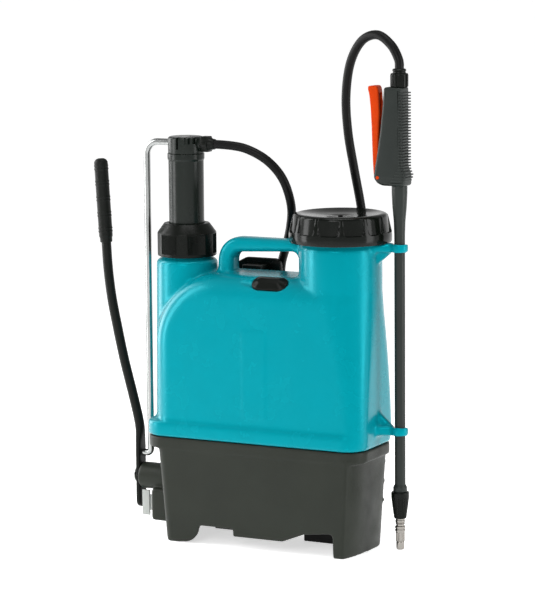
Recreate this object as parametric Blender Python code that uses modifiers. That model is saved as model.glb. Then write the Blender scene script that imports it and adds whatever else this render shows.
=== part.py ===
"""Backpack sprayer with a side pump lever, a moving pressure chamber and a lance parked in two clips.

Metres, +Z up. The front faces -Y, the wearer's back is on the +Y side, the lever is at -X and the
lance at +X. Everything is laid out from the tank's centre line, and the last step moves the whole
assembly so that the origin is at the bottom centre of the object's bounding box.
"""

import math

import bmesh
import bpy
from mathutils import Matrix, Vector

# Where the tank's centre line ends up in the finished frame.
TANK_X = 0.0278
TANK_Y = -0.0202

GAP = 0.0003

# Tank
HALF_WIDTH = 0.168
HALF_DEPTH = 0.062
CORNER_R = 0.030
SEAM_Z = 0.148
SKIRT_TOP_Z = 0.170
WALL = 0.0035

# The tank's broad front: an arch seen from -Y, with its front and back edges rounded off.
LOAF_ARCH = (-0.056, 0.277)
LOAF_ARCH_R = 0.100
LOAF_HALF_DEPTH = 0.0585
LOAF_EDGE_R = 0.032
SCOOP_CENTRE = (0.0145, -0.0560, 0.3810)
SCOOP_SIZE = (0.055, 0.018, 0.018)
PLUG_CENTRE = (0.0263, -0.0425, 0.3680)
PLUG_SIZE = (0.0270, 0.0115)
PLUG_TILT = math.radians(42)

# Stand
STAND_BODY_Z = 0.135
STAND_HALF_WIDTH = 0.1495
STAND_HALF_DEPTH = 0.0600
STAND_CORNER_R = 0.013
STAND_WALL = 0.005
STAND_X = 0.003
STAND_LEAN = 0.003
STAND_DRAFT = 0.052

# Pump column, pump and pressure chamber
PUMP_X = -0.125
PUMP_COLUMN_R = 0.0425
PUMP_COLUMN_TOP_Z = 0.392
PUMP_NECK_R = 0.0335
NUT_R = 0.041
NUT_TOP_Z = 0.441
CHAMBER_R = 0.0245
CHAMBER_TOP_Z = 0.538
HEAD_TOP_Z = 0.561
ROD_AXIS_Z = 0.552
INLET_BALL_Z = 0.2022
OUTLET_BALL_Z = 0.2822

# Filler column and cap
FILLER_X = 0.112
FILLER_R = 0.0567
FILLER_TOP_Z = 0.423
FILLER_NECK_R = 0.0535
FILLER_BORE_R = 0.0500
CAP_R = 0.070
CAP_BOTTOM_Z = 0.427
CAP_TOP_Z = 0.466

# Lever and rod
PIVOT_Z = 0.0775
CRANK_R = 0.0325
ROD_X = -0.187
ROD_R = 0.0048
BLADE_X = -0.2040
BLADE_HALF = 0.0036
BOSS_R = 0.0188
BOSS_END_X = -0.1998
BOSS_LENGTH = 0.061
SHAFT_R = 0.0070

# Lance
LANCE_X = 0.200
LANCE_R = 0.0073
LANCE_BOTTOM_Z = 0.089
HANDLE_TOP_Z = 0.638
HANDLE_BOTTOM_Z = 0.506
TRIGGER_PIN = (0.1737, 0.517)
TRIGGER_PIN_R = 0.0024
STEM_X = 0.1728
STEM_Z = 0.562

# Hose and its unions
SPOUT_LENGTH = 0.0265
SPOUT_Z = 0.5515
HOSE_NUT_LENGTH = 0.019
HOSE_R = 0.0062
HOSE_TOP_Z = 0.6630
HOSE_MEETING = Vector((0.014, 0.084, 0.225))

SPRAYER = "backpack_sprayer"
TEAL = (0.000, 0.330, 0.400)
CHARCOAL = (0.036, 0.040, 0.036)
BLACK = (0.010, 0.011, 0.010)


def clear_scene():
    for obj in list(bpy.data.objects):
        bpy.data.objects.remove(obj, do_unlink=True)
    bpy.context.scene.collection.children.link(bpy.data.collections.new(SPRAYER))


def material(name, colour, roughness, metallic=0.0):
    made = bpy.data.materials.new(name)
    made.use_nodes = True
    shader = made.node_tree.nodes["Principled BSDF"]
    shader.inputs["Base Color"].default_value = (*colour, 1.0)
    shader.inputs["Roughness"].default_value = roughness
    shader.inputs["Metallic"].default_value = metallic
    return made


def add_object(name, data):
    obj = bpy.data.objects.new(name, data)
    bpy.data.collections[SPRAYER].objects.link(obj)
    return obj


def baked(obj):
    """The same object with its modifiers or curve settings turned into a clean mesh."""
    graph = bpy.context.evaluated_depsgraph_get()
    mesh = bpy.data.meshes.new_from_object(obj.evaluated_get(graph))
    name = obj.name
    mesh.transform(obj.matrix_world)
    bpy.data.objects.remove(obj, do_unlink=True)
    bm = bmesh.new()
    bm.from_mesh(mesh)
    bmesh.ops.remove_doubles(bm, verts=bm.verts, dist=1e-6)
    bmesh.ops.dissolve_degenerate(bm, edges=bm.edges, dist=1e-6)
    bmesh.ops.recalc_face_normals(bm, faces=bm.faces)
    if bm.calc_volume(signed=True) < 0:
        bmesh.ops.reverse_faces(bm, faces=bm.faces)
    bm.to_mesh(mesh)
    bm.free()
    return add_object(name, mesh)


def boolean(obj, others, operation="DIFFERENCE"):
    for other in others:
        step = obj.modifiers.new(operation.lower(), "BOOLEAN")
        step.operation = operation
        step.solver = "EXACT"
        step.object = other
    bpy.context.view_layer.update()
    made = baked(obj)
    for other in others:
        bpy.data.objects.remove(other, do_unlink=True)
    return made


def plate(name, outline, depth, edge=0.0, edge_steps=1):
    """A flat outline in the XY plane, from z = -depth / 2 to depth / 2, with rounded edges."""
    curve = bpy.data.curves.new(name, "CURVE")
    curve.dimensions = "2D"
    curve.fill_mode = "BOTH"
    curve.extrude = depth / 2 - edge
    curve.bevel_depth = edge
    curve.bevel_resolution = edge_steps
    curve.offset = -edge
    spline = curve.splines.new("POLY")
    spline.points.add(len(outline) - 1)
    for point, (x, y) in zip(spline.points, outline):
        point.co = (x, y, 0, 1)
    spline.use_cyclic_u = True
    return baked(add_object(name, curve))


def slab(name, outline, z0, z1, edge=0.0, edge_steps=1):
    """plate() standing on z0 and reaching z1."""
    obj = plate(name, outline, z1 - z0, edge, edge_steps)
    obj.data.transform(Matrix.Translation((0, 0, (z0 + z1) / 2)))
    return obj


def upright(name, outline, y0, y1, edge=0.0, edge_steps=1):
    """An XZ outline between two depths."""
    obj = plate(name, outline, y1 - y0, edge, edge_steps)
    turn = Matrix.Translation((0, (y0 + y1) / 2, 0)) @ Matrix.Rotation(math.pi / 2, 4, "X")
    obj.data.transform(turn)
    return obj


def sideways(name, outline, x0, x1, edge=0.0, edge_steps=1):
    """A YZ outline between two X positions."""
    obj = plate(name, outline, x1 - x0, edge, edge_steps)
    axes = Matrix(((0, 0, 1, (x0 + x1) / 2), (1, 0, 0, 0), (0, 1, 0, 0), (0, 0, 0, 1)))
    obj.data.transform(axes)
    return obj


def arc(cx, cy, radius, start, end, steps):
    """Points round part of a circle, with angles in degrees."""
    angles = [math.radians(start + (end - start) * k / steps) for k in range(steps + 1)]
    return [(cx + radius * math.cos(a), cy + radius * math.sin(a)) for a in angles]


def rounded_box(half_x, half_y, radius, steps=6):
    points = []
    for sign_x, sign_y, start in ((1, 1, 0), (-1, 1, 90), (-1, -1, 180), (1, -1, 270)):
        cx, cy = sign_x * (half_x - radius), sign_y * (half_y - radius)
        points += arc(cx, cy, radius, start, start + 90, steps)
    return points


def turned(name, profile, x=0.0, y=0.0, z=0.0, steps=32):
    """A turned shape from (radius, height) points, running from its top to its bottom."""
    mesh = bpy.data.meshes.new(name)
    bm = bmesh.new()
    points = [bm.verts.new((radius, 0, height)) for radius, height in profile]
    for first, second in zip(points, [*points[1:], points[0]]):
        if max(first.co.x, second.co.x) > 1e-6:
            bm.edges.new((first, second))
    bm.to_mesh(mesh)
    bm.free()
    obj = add_object(name, mesh)
    screw = obj.modifiers.new("turn", "SCREW")
    screw.steps = screw.render_steps = steps
    screw.use_merge_vertices = True
    screw.merge_threshold = 1e-6
    screw.use_normal_calculate = True
    obj.location = (x, y, z)
    bpy.context.view_layer.update()
    return baked(obj)


def turned_along_x(name, profile, x, y, z, steps=32):
    """turned(), with its heights running along +X."""
    obj = turned(name, profile, steps=steps)
    obj.data.transform(Matrix.Translation((x, y, z)) @ Matrix.Rotation(math.pi / 2, 4, "Y"))
    return obj


def turned_along_y(name, profile, x, y, z, steps=32):
    """turned(), with its heights running along +Y."""
    obj = turned(name, profile, steps=steps)
    obj.data.transform(Matrix.Translation((x, y, z)) @ Matrix.Rotation(-math.pi / 2, 4, "X"))
    return obj


def rod(name, radius, start, end, steps=16):
    """A round bar between two points."""
    start, end = Vector(start), Vector(end)
    along = end - start
    bm = bmesh.new()
    bmesh.ops.create_cone(
        bm, cap_ends=True, segments=steps, radius1=radius, radius2=radius, depth=along.length
    )
    mesh = bpy.data.meshes.new(name)
    turn = Vector((0, 0, 1)).rotation_difference(along).to_matrix().to_4x4()
    bm.transform(Matrix.Translation((start + end) / 2) @ turn)
    bm.to_mesh(mesh)
    bm.free()
    return add_object(name, mesh)


def block(name, low, high, edge=0.0, edge_steps=1):
    """A box between two corners, with rounded edges."""
    low, high = Vector(low), Vector(high)
    bm = bmesh.new()
    bmesh.ops.create_cube(bm, size=1)
    size = high - low
    bmesh.ops.transform(
        bm, matrix=Matrix.Translation((low + high) / 2) @ Matrix.Diagonal((*size, 1)), verts=bm.verts
    )
    mesh = bpy.data.meshes.new(name)
    bm.to_mesh(mesh)
    bm.free()
    obj = add_object(name, mesh)
    if edge:
        bevel = obj.modifiers.new("edges", "BEVEL")
        bevel.width = edge
        bevel.segments = edge_steps
        bevel.limit_method = "ANGLE"
        obj = baked(obj)
    return obj


def smooth_route(points, spacing):
    """Even points along a Catmull-Rom curve through the route points."""
    points = [Vector(p) for p in points]
    ends = [points[0] * 2 - points[1], *points, points[-1] * 2 - points[-2]]
    fine = []
    for a, b, c, d in zip(ends, ends[1:], ends[2:], ends[3:]):
        for k in range(24):
            t = k / 24
            fine.append(
                (2 * b + (c - a) * t + (2 * a - 5 * b + 4 * c - d) * t**2 + (3 * b - a - 3 * c + d) * t**3) / 2
            )
    fine.append(points[-1])
    lengths = [0.0]
    for first, second in zip(fine, fine[1:]):
        lengths.append(lengths[-1] + (second - first).length)
    count = max(2, round(lengths[-1] / spacing))
    even = []
    k = 0
    for i in range(count + 1):
        want = lengths[-1] * i / count
        while k < len(fine) - 2 and lengths[k + 1] < want:
            k += 1
        step = lengths[k + 1] - lengths[k]
        even.append(fine[k].lerp(fine[k + 1], (want - lengths[k]) / step))
    return even


def tube(name, points, radius, resolution=2, radii=None):
    curve = bpy.data.curves.new(name, "CURVE")
    curve.dimensions = "3D"
    curve.bevel_depth = radius
    curve.bevel_resolution = resolution
    curve.use_fill_caps = True
    spline = curve.splines.new("POLY")
    spline.points.add(len(points) - 1)
    for k, (point, co) in enumerate(zip(spline.points, points)):
        point.co = (*co, 1)
        point.radius = radii[k] if radii else 1.0
    return baked(add_object(name, curve))


# ---------------------------------------------------------------- tank and base


def clip_outline(ring_inner, ring_outer, mouth, arm_half):
    """Seen from above: an arm from the tank to a C-shaped ring that opens towards +Y."""
    reach = math.degrees(math.asin(arm_half / ring_outer))
    inner = arc(LANCE_X, 0, ring_inner, 90 + mouth, 450 - mouth, 18)
    outer = arc(LANCE_X, 0, ring_outer, 450 - mouth, 180 + reach, 14)
    root_x = 0.158
    arm = [(root_x, -arm_half - 0.006), (root_x, arm_half + 0.006), (LANCE_X - ring_inner - 0.004, arm_half * 0.6)]
    return [*inner, *outer, *arm]


def lofted(name, sections):
    """A closed solid through loops that have the same number of points, with flat ends."""
    bm = bmesh.new()
    loops = [[bm.verts.new(point) for point in section] for section in sections]
    for lower, upper in zip(loops, loops[1:]):
        for k in range(len(lower)):
            after = (k + 1) % len(lower)
            bm.faces.new((lower[k], lower[after], upper[after], upper[k]))
    bm.faces.new(loops[0])
    bm.faces.new(loops[-1])
    bmesh.ops.recalc_face_normals(bm, faces=bm.faces)
    mesh = bpy.data.meshes.new(name)
    bm.to_mesh(mesh)
    bm.free()
    return add_object(name, mesh)


def make_loaf(name, inset):
    """The arched middle of the tank. A positive inset gives its inside."""
    centre_x, centre_z = LOAF_ARCH
    edge = LOAF_EDGE_R - inset
    bottom = SEAM_Z + 0.010 + inset
    turns = [math.radians(15 * k) for k in range(7)]
    sections = []
    for side, angles in ((-1, turns[::-1]), (1, turns)):
        for angle in angles:
            y = side * (LOAF_HALF_DEPTH - LOAF_EDGE_R + edge * math.sin(angle))
            radius = LOAF_ARCH_R - inset - edge * (1 - math.cos(angle))
            outline = arc(centre_x, centre_z, radius, 180, 90, 12)
            outline += [(FILLER_X, centre_z + radius), (FILLER_X, bottom), (centre_x - radius, bottom)]
            sections.append([(x, y, z) for x, z in outline])
    return lofted(name, sections)


def make_filler_column(name, inset, neck_r, neck_top):
    """The tank's right end: a rounded block at the skirt that turns into a round column and a neck."""
    r = FILLER_R
    shoulder = FILLER_TOP_Z - inset
    stations = [
        (SEAM_Z + 0.010 + inset, r, 0.0587, 0.006, 0.024), (0.175, r, 0.0587, 0.006, 0.024),
        (0.205, r, 0.0587, 0.006, 0.027), (0.245, r, 0.0587, 0.006, 0.033), (0.275, r, 0.0587, 0.006, 0.039),
        (0.300, r, 0.0587, 0.007, 0.045), (0.322, r, 0.0587, 0.016, 0.0510), (0.338, r, 0.0587, 0.030, 0.0550),
        (0.350, r, 0.0583, 0.043, 0.0565), (0.360, r, r, r, r), (shoulder - 0.003, r, r, r, r),
        (shoulder, r - 0.003, r - 0.003, r - 0.003, r - 0.003),
    ]
    sections = []
    for z, half_x, half_y, left_r, right_r in stations:
        half_x, half_y = half_x - inset, half_y - inset
        outline = []
        for sign_x, sign_y, start in ((1, 1, 0), (-1, 1, 90), (-1, -1, 180), (1, -1, 270)):
            corner = min(half_y, (right_r if sign_x > 0 else left_r) - inset)
            cx, cy = FILLER_X + sign_x * (half_x - corner), sign_y * (half_y - corner)
            outline += arc(cx, cy, corner, start + 1, start + 89, 8)
        sections.append([(x, y, z) for x, y in outline])
    for z in (shoulder, neck_top):
        circle = [arc(FILLER_X, 0, neck_r, start + 1, start + 89, 8) for start in (0, 90, 180, 270)]
        sections.append([(x, y, z) for quarter in circle for x, y in quarter])
    return lofted(name, sections)


def make_pump_column(name, inset, bore, neck_top, steps):
    top = PUMP_COLUMN_TOP_Z - inset
    r = PUMP_COLUMN_R - inset
    bottom = SEAM_Z + 0.010 + inset
    profile = [
        (0, neck_top), (bore, neck_top), (bore, top), (r - 0.004, top), (r, top - 0.004),
        (r + 0.003, bottom), (0, bottom),
    ]
    return turned(name, profile, PUMP_X, steps=steps)


def make_scoop(name, grow):
    """The shallow hollow under the handle's front, where the strap anchor sits."""
    bm = bmesh.new()
    bmesh.ops.create_uvsphere(bm, u_segments=24, v_segments=12, radius=1)
    size = [half + grow for half in SCOOP_SIZE]
    bmesh.ops.transform(bm, matrix=Matrix.Translation(SCOOP_CENTRE) @ Matrix.Diagonal((*size, 1)), verts=bm.verts)
    mesh = bpy.data.meshes.new(name)
    bm.to_mesh(mesh)
    bm.free()
    return add_object(name, mesh)


def make_plug_shape(name, grow, low, high, edge=0.0):
    """The strap anchor's long oval, lying on the slope below the handle."""
    half_x, half_y = (half + grow for half in PLUG_SIZE)
    shape = slab(name, rounded_box(half_x, half_y, half_y - 0.0001, 8), low, high, edge, 2)
    shape.data.transform(Matrix.Translation(PLUG_CENTRE) @ Matrix.Rotation(PLUG_TILT, 4, "X"))
    return shape


def make_tank():
    skirt = slab(
        "tank", rounded_box(HALF_WIDTH, HALF_DEPTH, CORNER_R, 7), SEAM_Z, SKIRT_TOP_Z, 0.004, 2
    )
    handle = [
        *arc(-0.038, 0.3930, 0.0330, 180, 90, 6), (0.060, 0.4260), (0.080, 0.4180),
        (0.080, 0.3775), *arc(0.043, 0.400, 0.0095, 0, 90, 4),
        *arc(-0.0355, 0.3935, 0.0120, 90, 180, 5), (-0.048, 0.360), (-0.078, 0.360), (-0.073, 0.378),
    ]
    clip = clip_outline(0.0079, 0.0122, 74, 0.0070)
    cap_room = rod("cap_room", CAP_R + 0.0012, (FILLER_X, 0, CAP_BOTTOM_Z - 0.0007), (FILLER_X, 0, CAP_TOP_Z), 48)
    extras = [
        make_loaf("loaf", 0),
        make_pump_column("pump_column", 0, PUMP_NECK_R, 0.425, 36),
        make_filler_column("filler_column", 0, FILLER_NECK_R, 0.449),
        upright("handle", handle, -0.0155, 0.0155, 0.005, 2),
        boolean(slab("upper_clip", clip, 0.4160, 0.4285, 0.001), [cap_room]),
        slab("lower_clip", clip, 0.1655, 0.1790, 0.001),
    ]
    outside = boolean(skirt, extras, "UNION")
    inside = slab(
        "inside", rounded_box(HALF_WIDTH - WALL, HALF_DEPTH - WALL, CORNER_R - WALL, 6),
        SEAM_Z + WALL, SKIRT_TOP_Z - WALL,
    )
    voids = [
        make_loaf("loaf_void", WALL),
        make_pump_column("pump_void", WALL, 0.0302, 0.430, 28),
        make_filler_column("filler_void", WALL, FILLER_BORE_R, 0.455),
    ]
    inside = boolean(inside, voids, "UNION")
    inside = boolean(inside, [make_scoop("scoop_wall", WALL), make_plug_shape("pocket_wall", WALL, -WALL, 0.02)])
    return boolean(outside, [inside, make_scoop("scoop", 0), make_plug_shape("pocket", GAP, -GAP, 0.02)])


def stand_body(name, inset, low, high):
    """The stand's body, which narrows towards its feet. A positive inset gives its inside."""
    outline = rounded_box(STAND_HALF_WIDTH - inset, STAND_HALF_DEPTH - inset, STAND_CORNER_R - inset, 5)
    body = slab(name, outline, low, high)
    for vertex in body.data.vertices:
        drop = 1 - max(vertex.co.z, 0) / STAND_BODY_Z
        vertex.co.x = STAND_X + STAND_LEAN * drop + vertex.co.x * (1 - STAND_DRAFT * drop)
        vertex.co.y *= 1 - STAND_DRAFT * drop
    return body


def make_base():
    """The moulded stand: an open-bottomed skirt with feet, a flange and the lever's boss."""
    top = SEAM_Z - GAP
    flange = slab("base_housing", rounded_box(0.1665, 0.0605, 0.0285, 6), 0.131, top, 0.0015)
    shell = stand_body("shell", 0, 0.0, STAND_BODY_Z)
    boss = turned_along_x(
        "boss", [(0, BOSS_LENGTH), (BOSS_R, BOSS_LENGTH), (BOSS_R, 0.0015), (BOSS_R - 0.0015, 0), (0, 0)],
        BOSS_END_X, 0, PIVOT_Z, 28,
    )
    side_block = block("side_block", (-0.1760, -0.0230, 0.018), (-0.136, 0.0230, 0.064), 0.003, 2)
    outside = boolean(flange, [shell, boss, side_block], "UNION")

    cavity = stand_body("cavity", STAND_WALL, -0.010, 0.127)
    front_cuts = [
        (-0.1105, -0.01), *arc(-0.0815, -0.002, 0.029, 176, 90, 6), (-0.0281, 0.0262), (-0.0281, 0.0155),
        (0.0479, 0.0155), (0.0811, 0.0287), (0.1215, 0.0330), (0.1247, 0.0300), (0.1247, -0.01),
    ]
    cuts = [cavity, upright("cut", front_cuts, -0.080, 0.080)]
    cuts.append(rod("shaft_hole", SHAFT_R + 0.0004, (-0.21, 0, PIVOT_Z), (-0.130, 0, PIVOT_Z), 24))
    return boolean(outside, cuts)


def make_pivot_bracket():
    """The zinc-plated angle below the boss: a strip that faces forward and a tab on the stand's side."""
    strip = block("pivot_bracket", (-0.1970, -0.0100, 0.0220), (-0.1855, -0.0070, 0.0580), 0.0005)
    tab = block("tab", (-0.1900, -0.0080, 0.0290), (-0.1763, -0.0040, 0.0510))
    return boolean(strip, [tab], "UNION")


def make_strap_anchor():
    """The oval plug that closes the strap's anchorage in the tank's top."""
    return make_plug_shape("strap_anchor_plug", 0, 0, 0.0080, 0.002)


# ---------------------------------------------------------------- pump


def make_pump_nut():
    bore = CHAMBER_R + 0.0006
    profile = [
        (bore, NUT_TOP_Z), (0.0315, NUT_TOP_Z), (NUT_R, 0.428), (NUT_R, 0.3965), (NUT_R - 0.001, 0.3955),
        (PUMP_NECK_R + 0.0004, 0.3955), (PUMP_NECK_R + 0.0004, 0.4320), (bore, 0.4320),
    ]
    return turned("pump_nut", profile, PUMP_X, steps=40)


def make_gland_seal():
    profile = [(CHAMBER_R + 0.0004, 0.4315), (0.0325, 0.4315), (0.0325, 0.4257), (CHAMBER_R + 0.0004, 0.4257)]
    return turned("pump_gland_seal", profile, PUMP_X)


def make_barrel():
    """The fixed pump cylinder that hangs from the tank's neck."""
    profile = [
        (0.0262, 0.4245), (0.0298, 0.4245), (0.0298, 0.1950), (0.0090, 0.1950), (0.0090, 0.1990), (0.0262, 0.1990),
    ]
    return turned("pump_barrel", profile, PUMP_X)


def make_foot_valve():
    profile = [
        (0.0085, 0.2030), (0.0150, 0.2030), (0.0150, 0.1993), (0.0086, 0.1993), (0.0086, 0.1947),
        (0.0200, 0.1947), (0.0200, 0.1620), (0.0050, 0.1620), (0.0050, 0.1900),
    ]
    return turned("foot_valve", profile, PUMP_X)


def ball(name, radius, x, y, z):
    bm = bmesh.new()
    bmesh.ops.create_uvsphere(bm, u_segments=14, v_segments=8, radius=radius)
    bmesh.ops.translate(bm, vec=(x, y, z), verts=bm.verts)
    mesh = bpy.data.meshes.new(name)
    bm.to_mesh(mesh)
    bm.free()
    return add_object(name, mesh)


def make_chamber():
    """The pressure chamber, which is the moving piston tube."""
    inner = CHAMBER_R - 0.0028
    profile = [
        (inner, CHAMBER_TOP_Z - GAP), (CHAMBER_R + 0.0012, CHAMBER_TOP_Z - GAP), (CHAMBER_R + 0.0012, 0.5300),
        (CHAMBER_R, 0.5280), (CHAMBER_R, 0.2750), (0.0045, 0.2750), (0.0045, 0.2790), (inner, 0.2790),
    ]
    return turned("pump_chamber", profile, PUMP_X)


def make_piston_cup():
    profile = [
        (0.0060, 0.2747), (0.0230, 0.2747), (0.0258, 0.2720), (0.0258, 0.2640), (0.0235, 0.2640),
        (0.0235, 0.2690), (0.0060, 0.2690),
    ]
    return turned("piston_cup", profile, PUMP_X)


def make_head():
    """The head that closes the chamber, with the rod's cross bore and the outlet."""
    r = CHAMBER_R + 0.0003
    profile = [
        (0, HEAD_TOP_Z), (r - 0.004, HEAD_TOP_Z), (r, HEAD_TOP_Z - 0.003), (r, CHAMBER_TOP_Z), (0, CHAMBER_TOP_Z),
    ]
    head = turned("pump_head", profile, PUMP_X)
    spout_profile = [(0, SPOUT_LENGTH), (0.0093, SPOUT_LENGTH), (0.0093, 0), (0, 0)]
    spout = turned_along_x("spout", spout_profile, PUMP_X, 0, SPOUT_Z, 20)
    head = boolean(head, [spout], "UNION")
    bore = rod("bore", ROD_R + 0.0005, (-0.17, 0, ROD_AXIS_Z), (-0.132, 0, ROD_AXIS_Z), 20)
    slots = []
    for k in range(4):
        x = PUMP_X - 0.0015 + 0.006 * k
        slots.append(block(f"slot_{k}", (x, -0.016, HEAD_TOP_Z - 0.005), (x + 0.0022, 0.016, HEAD_TOP_Z + 0.01)))
    return boolean(head, [bore, *slots])


def make_dip_tube():
    top = CHAMBER_TOP_Z - GAP
    profile = [(0.0022, top), (0.0040, top), (0.0040, 0.2930), (0.0022, 0.2930)]
    return turned("dip_tube", profile, PUMP_X, steps=14)


def hex_nut_outline(radius):
    return arc(0, 0, radius, 0, 300, 5)


def make_pump_hose_nut():
    face = PUMP_X + SPOUT_LENGTH + GAP
    nut = plate("pump_hose_nut", hex_nut_outline(0.0125), 0.0110, 0.0008)
    nut.data.transform(Matrix.Rotation(math.radians(30), 4, "Z"))
    nut.data.transform(Matrix.Translation((face + 0.0055, 0, SPOUT_Z)) @ Matrix.Rotation(math.pi / 2, 4, "Y"))
    end = HOSE_NUT_LENGTH
    sleeve_profile = [(0, end), (0.0072, end), (0.0095, end - 0.010), (0, end - 0.010)]
    sleeve = turned_along_x("sleeve", sleeve_profile, face, 0, SPOUT_Z, 20)
    return boolean(nut, [sleeve], "UNION")


def make_rod():
    """The bent steel rod. It runs from the head's bore down to a short hook beside the lever."""
    bend = 0.018
    hook = 0.0068
    hook_z = PIVOT_Z + CRANK_R
    points = [(-0.1400, ROD_AXIS_Z), (-0.155, ROD_AXIS_Z)]
    points += arc(ROD_X + bend, ROD_AXIS_Z - bend, bend, 90, 180, 6)
    points += [(ROD_X, 0.40), (ROD_X, 0.25)]
    points += arc(ROD_X - hook, hook_z + hook, hook, 0, -90, 5)
    points.append((BLADE_X + BLADE_HALF + 0.0010, hook_z))
    return tube("connecting_rod", [(x, 0, z) for x, z in points], ROD_R, 3)


# ---------------------------------------------------------------- lever


def lever_axis():
    """The lever's centre line: straight at the pivot, cranked outwards, then nearly upright."""
    return smooth_route(
        [
            (BLADE_X, 0, 0.122), (-0.2052, 0, 0.150), (-0.2147, 0, 0.190), (-0.2282, 0, 0.240),
            (-0.2395, 0, 0.290), (-0.2475, 0, 0.330), (-0.2525, 0, 0.370), (-0.2550, 0, 0.410), (-0.2590, 0, 0.480),
        ],
        0.020,
    )


def make_lever_tube():
    upper = tube("lever_tube", lever_axis(), 0.0068, 3)
    blade = [
        *arc(0, PIVOT_Z - 0.036, 0.0098, 180, 360, 8), (0.0104, 0.100), (0.0080, 0.130), (0.0040, 0.140),
        (-0.0040, 0.140), (-0.0080, 0.130), (-0.0104, 0.100),
    ]
    flat = sideways("flat", blade, BLADE_X - BLADE_HALF, BLADE_X + BLADE_HALF, 0.0012, 2)
    tube_and_blade = boolean(upper, [flat], "UNION")
    hole = rod("hole", SHAFT_R + GAP, (-0.23, 0, PIVOT_Z), (-0.18, 0, PIVOT_Z), 24)
    return boolean(tube_and_blade, [hole])


def make_lever_grip():
    """A hollow grip pushed over the tube's end, with pairs of small rings."""
    length = 0.117
    radii = []
    for k in range(5):
        z = 0.014 + 0.022 * k
        radii += [(0.0098, z), (0.0104, z + 0.002), (0.0098, z + 0.004), (0.0104, z + 0.006), (0.0098, z + 0.008)]
    outer = [(0.0078, length), (0.0098, length - 0.004), *reversed(radii), (0.0092, 0.006), (0.0086, 0)]
    profile = [(0, length + 0.0015), (0.004, length + 0.0015), *outer, (0.0071, 0), (0.0071, 0.075), (0, 0.075)]
    grip = turned("lever_grip", profile, steps=18)
    grip.data.transform(
        Matrix.Translation((-0.2548, 0, 0.407)) @ Matrix.Rotation(math.atan2(-0.0072, 0.12), 4, "Y")
    )
    return grip


def make_shaft():
    """The lever's pivot shaft, with its outer collar and the inner end in the stand."""
    end = BOSS_LENGTH + 0.0110
    profile = [
        (0, end), (SHAFT_R, end), (SHAFT_R, -0.0045), (0.0105, -0.0045), (0.0105, -0.0067), (0, -0.0067),
    ]
    return turned_along_x("pivot_shaft", profile, BLADE_X, 0, PIVOT_Z, 24)


def make_shaft_clip():
    """The retaining washer inside the stand."""
    profile = [(0.0072, 0.0015), (0.0120, 0.0015), (0.0120, 0), (0.0072, 0)]
    return turned_along_x("shaft_retaining_washer", profile, -0.1358, 0, PIVOT_Z, 20)


# ---------------------------------------------------------------- filler


def make_strainer():
    """The basket strainer that hangs in the filler neck."""
    r = FILLER_BORE_R - 0.0006
    profile = [
        (r - 0.0022, 0.4515), (FILLER_NECK_R, 0.4515), (FILLER_NECK_R, 0.4493), (r, 0.4493), (r, 0.4300),
        (0.0420, 0.3700), (0, 0.3700), (0, 0.3722), (0.0402, 0.3722), (r - 0.0022, 0.4310),
    ]
    return turned("filler_strainer", profile, FILLER_X, steps=36)


def make_cap():
    """The screw cap: a lipped lid with finger recesses round its side."""
    inner = FILLER_NECK_R + 0.0010
    profile = [
        (0, CAP_TOP_Z - 0.003), (0.040, CAP_TOP_Z - 0.002), (0.054, CAP_TOP_Z), (0.060, CAP_TOP_Z - 0.001),
        (0.0655, CAP_TOP_Z - 0.006), (0.0668, 0.4400), (CAP_R, 0.4370), (CAP_R, 0.4285), (0.0692, CAP_BOTTOM_Z),
        (inner + 0.004, CAP_BOTTOM_Z), (inner, 0.4300), (inner, 0.4552), (0, 0.4552),
    ]
    cap = turned("filler_cap", profile, FILLER_X, steps=48)
    count = 10
    recesses = []
    for k in range(count):
        angle = 2 * math.pi * k / count
        cutter = rod(f"recess_{k}", 0.0090, (0.0735, 0, 0.4435), (0.0735, 0, 0.4700), 14)
        cutter.data.transform(Matrix.Translation((FILLER_X, 0, 0)) @ Matrix.Rotation(angle, 4, "Z"))
        recesses.append(cutter)
    recesses.append(rod("vent_hole", 0.0036, (FILLER_X, 0, 0.45), (FILLER_X, 0, 0.48), 16))
    return boolean(cap, recesses)


def make_cap_seal():
    profile = [(0.0470, 0.4549), (0.0535, 0.4549), (0.0535, 0.4519), (0.0470, 0.4519)]
    return turned("cap_seal", profile, FILLER_X, steps=40)


def make_vent_valve():
    profile = [
        (0, 0.4655), (0.0033, 0.4650), (0.0033, 0.4549), (0.0070, 0.4549), (0.0070, 0.4535), (0, 0.4535),
    ]
    return turned("cap_vent_valve", profile, FILLER_X, steps=16)


# ---------------------------------------------------------------- lance and trigger handle


def handle_outline(inset):
    left, right = 0.1875 + inset, 0.2130 - inset
    low, high = HANDLE_BOTTOM_Z + inset, HANDLE_TOP_Z - inset
    return [
        (left, high), (left, 0.552), (0.1790, 0.535), (0.1690 + inset, 0.528), (0.1670 + inset, 0.5165),
        (0.1780 + inset * 0.5, low), (0.2120 - inset, low), (0.2160 - inset, 0.519),
        (0.2150 - inset, 0.528), (right, 0.534), (right, high),
    ]


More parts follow.
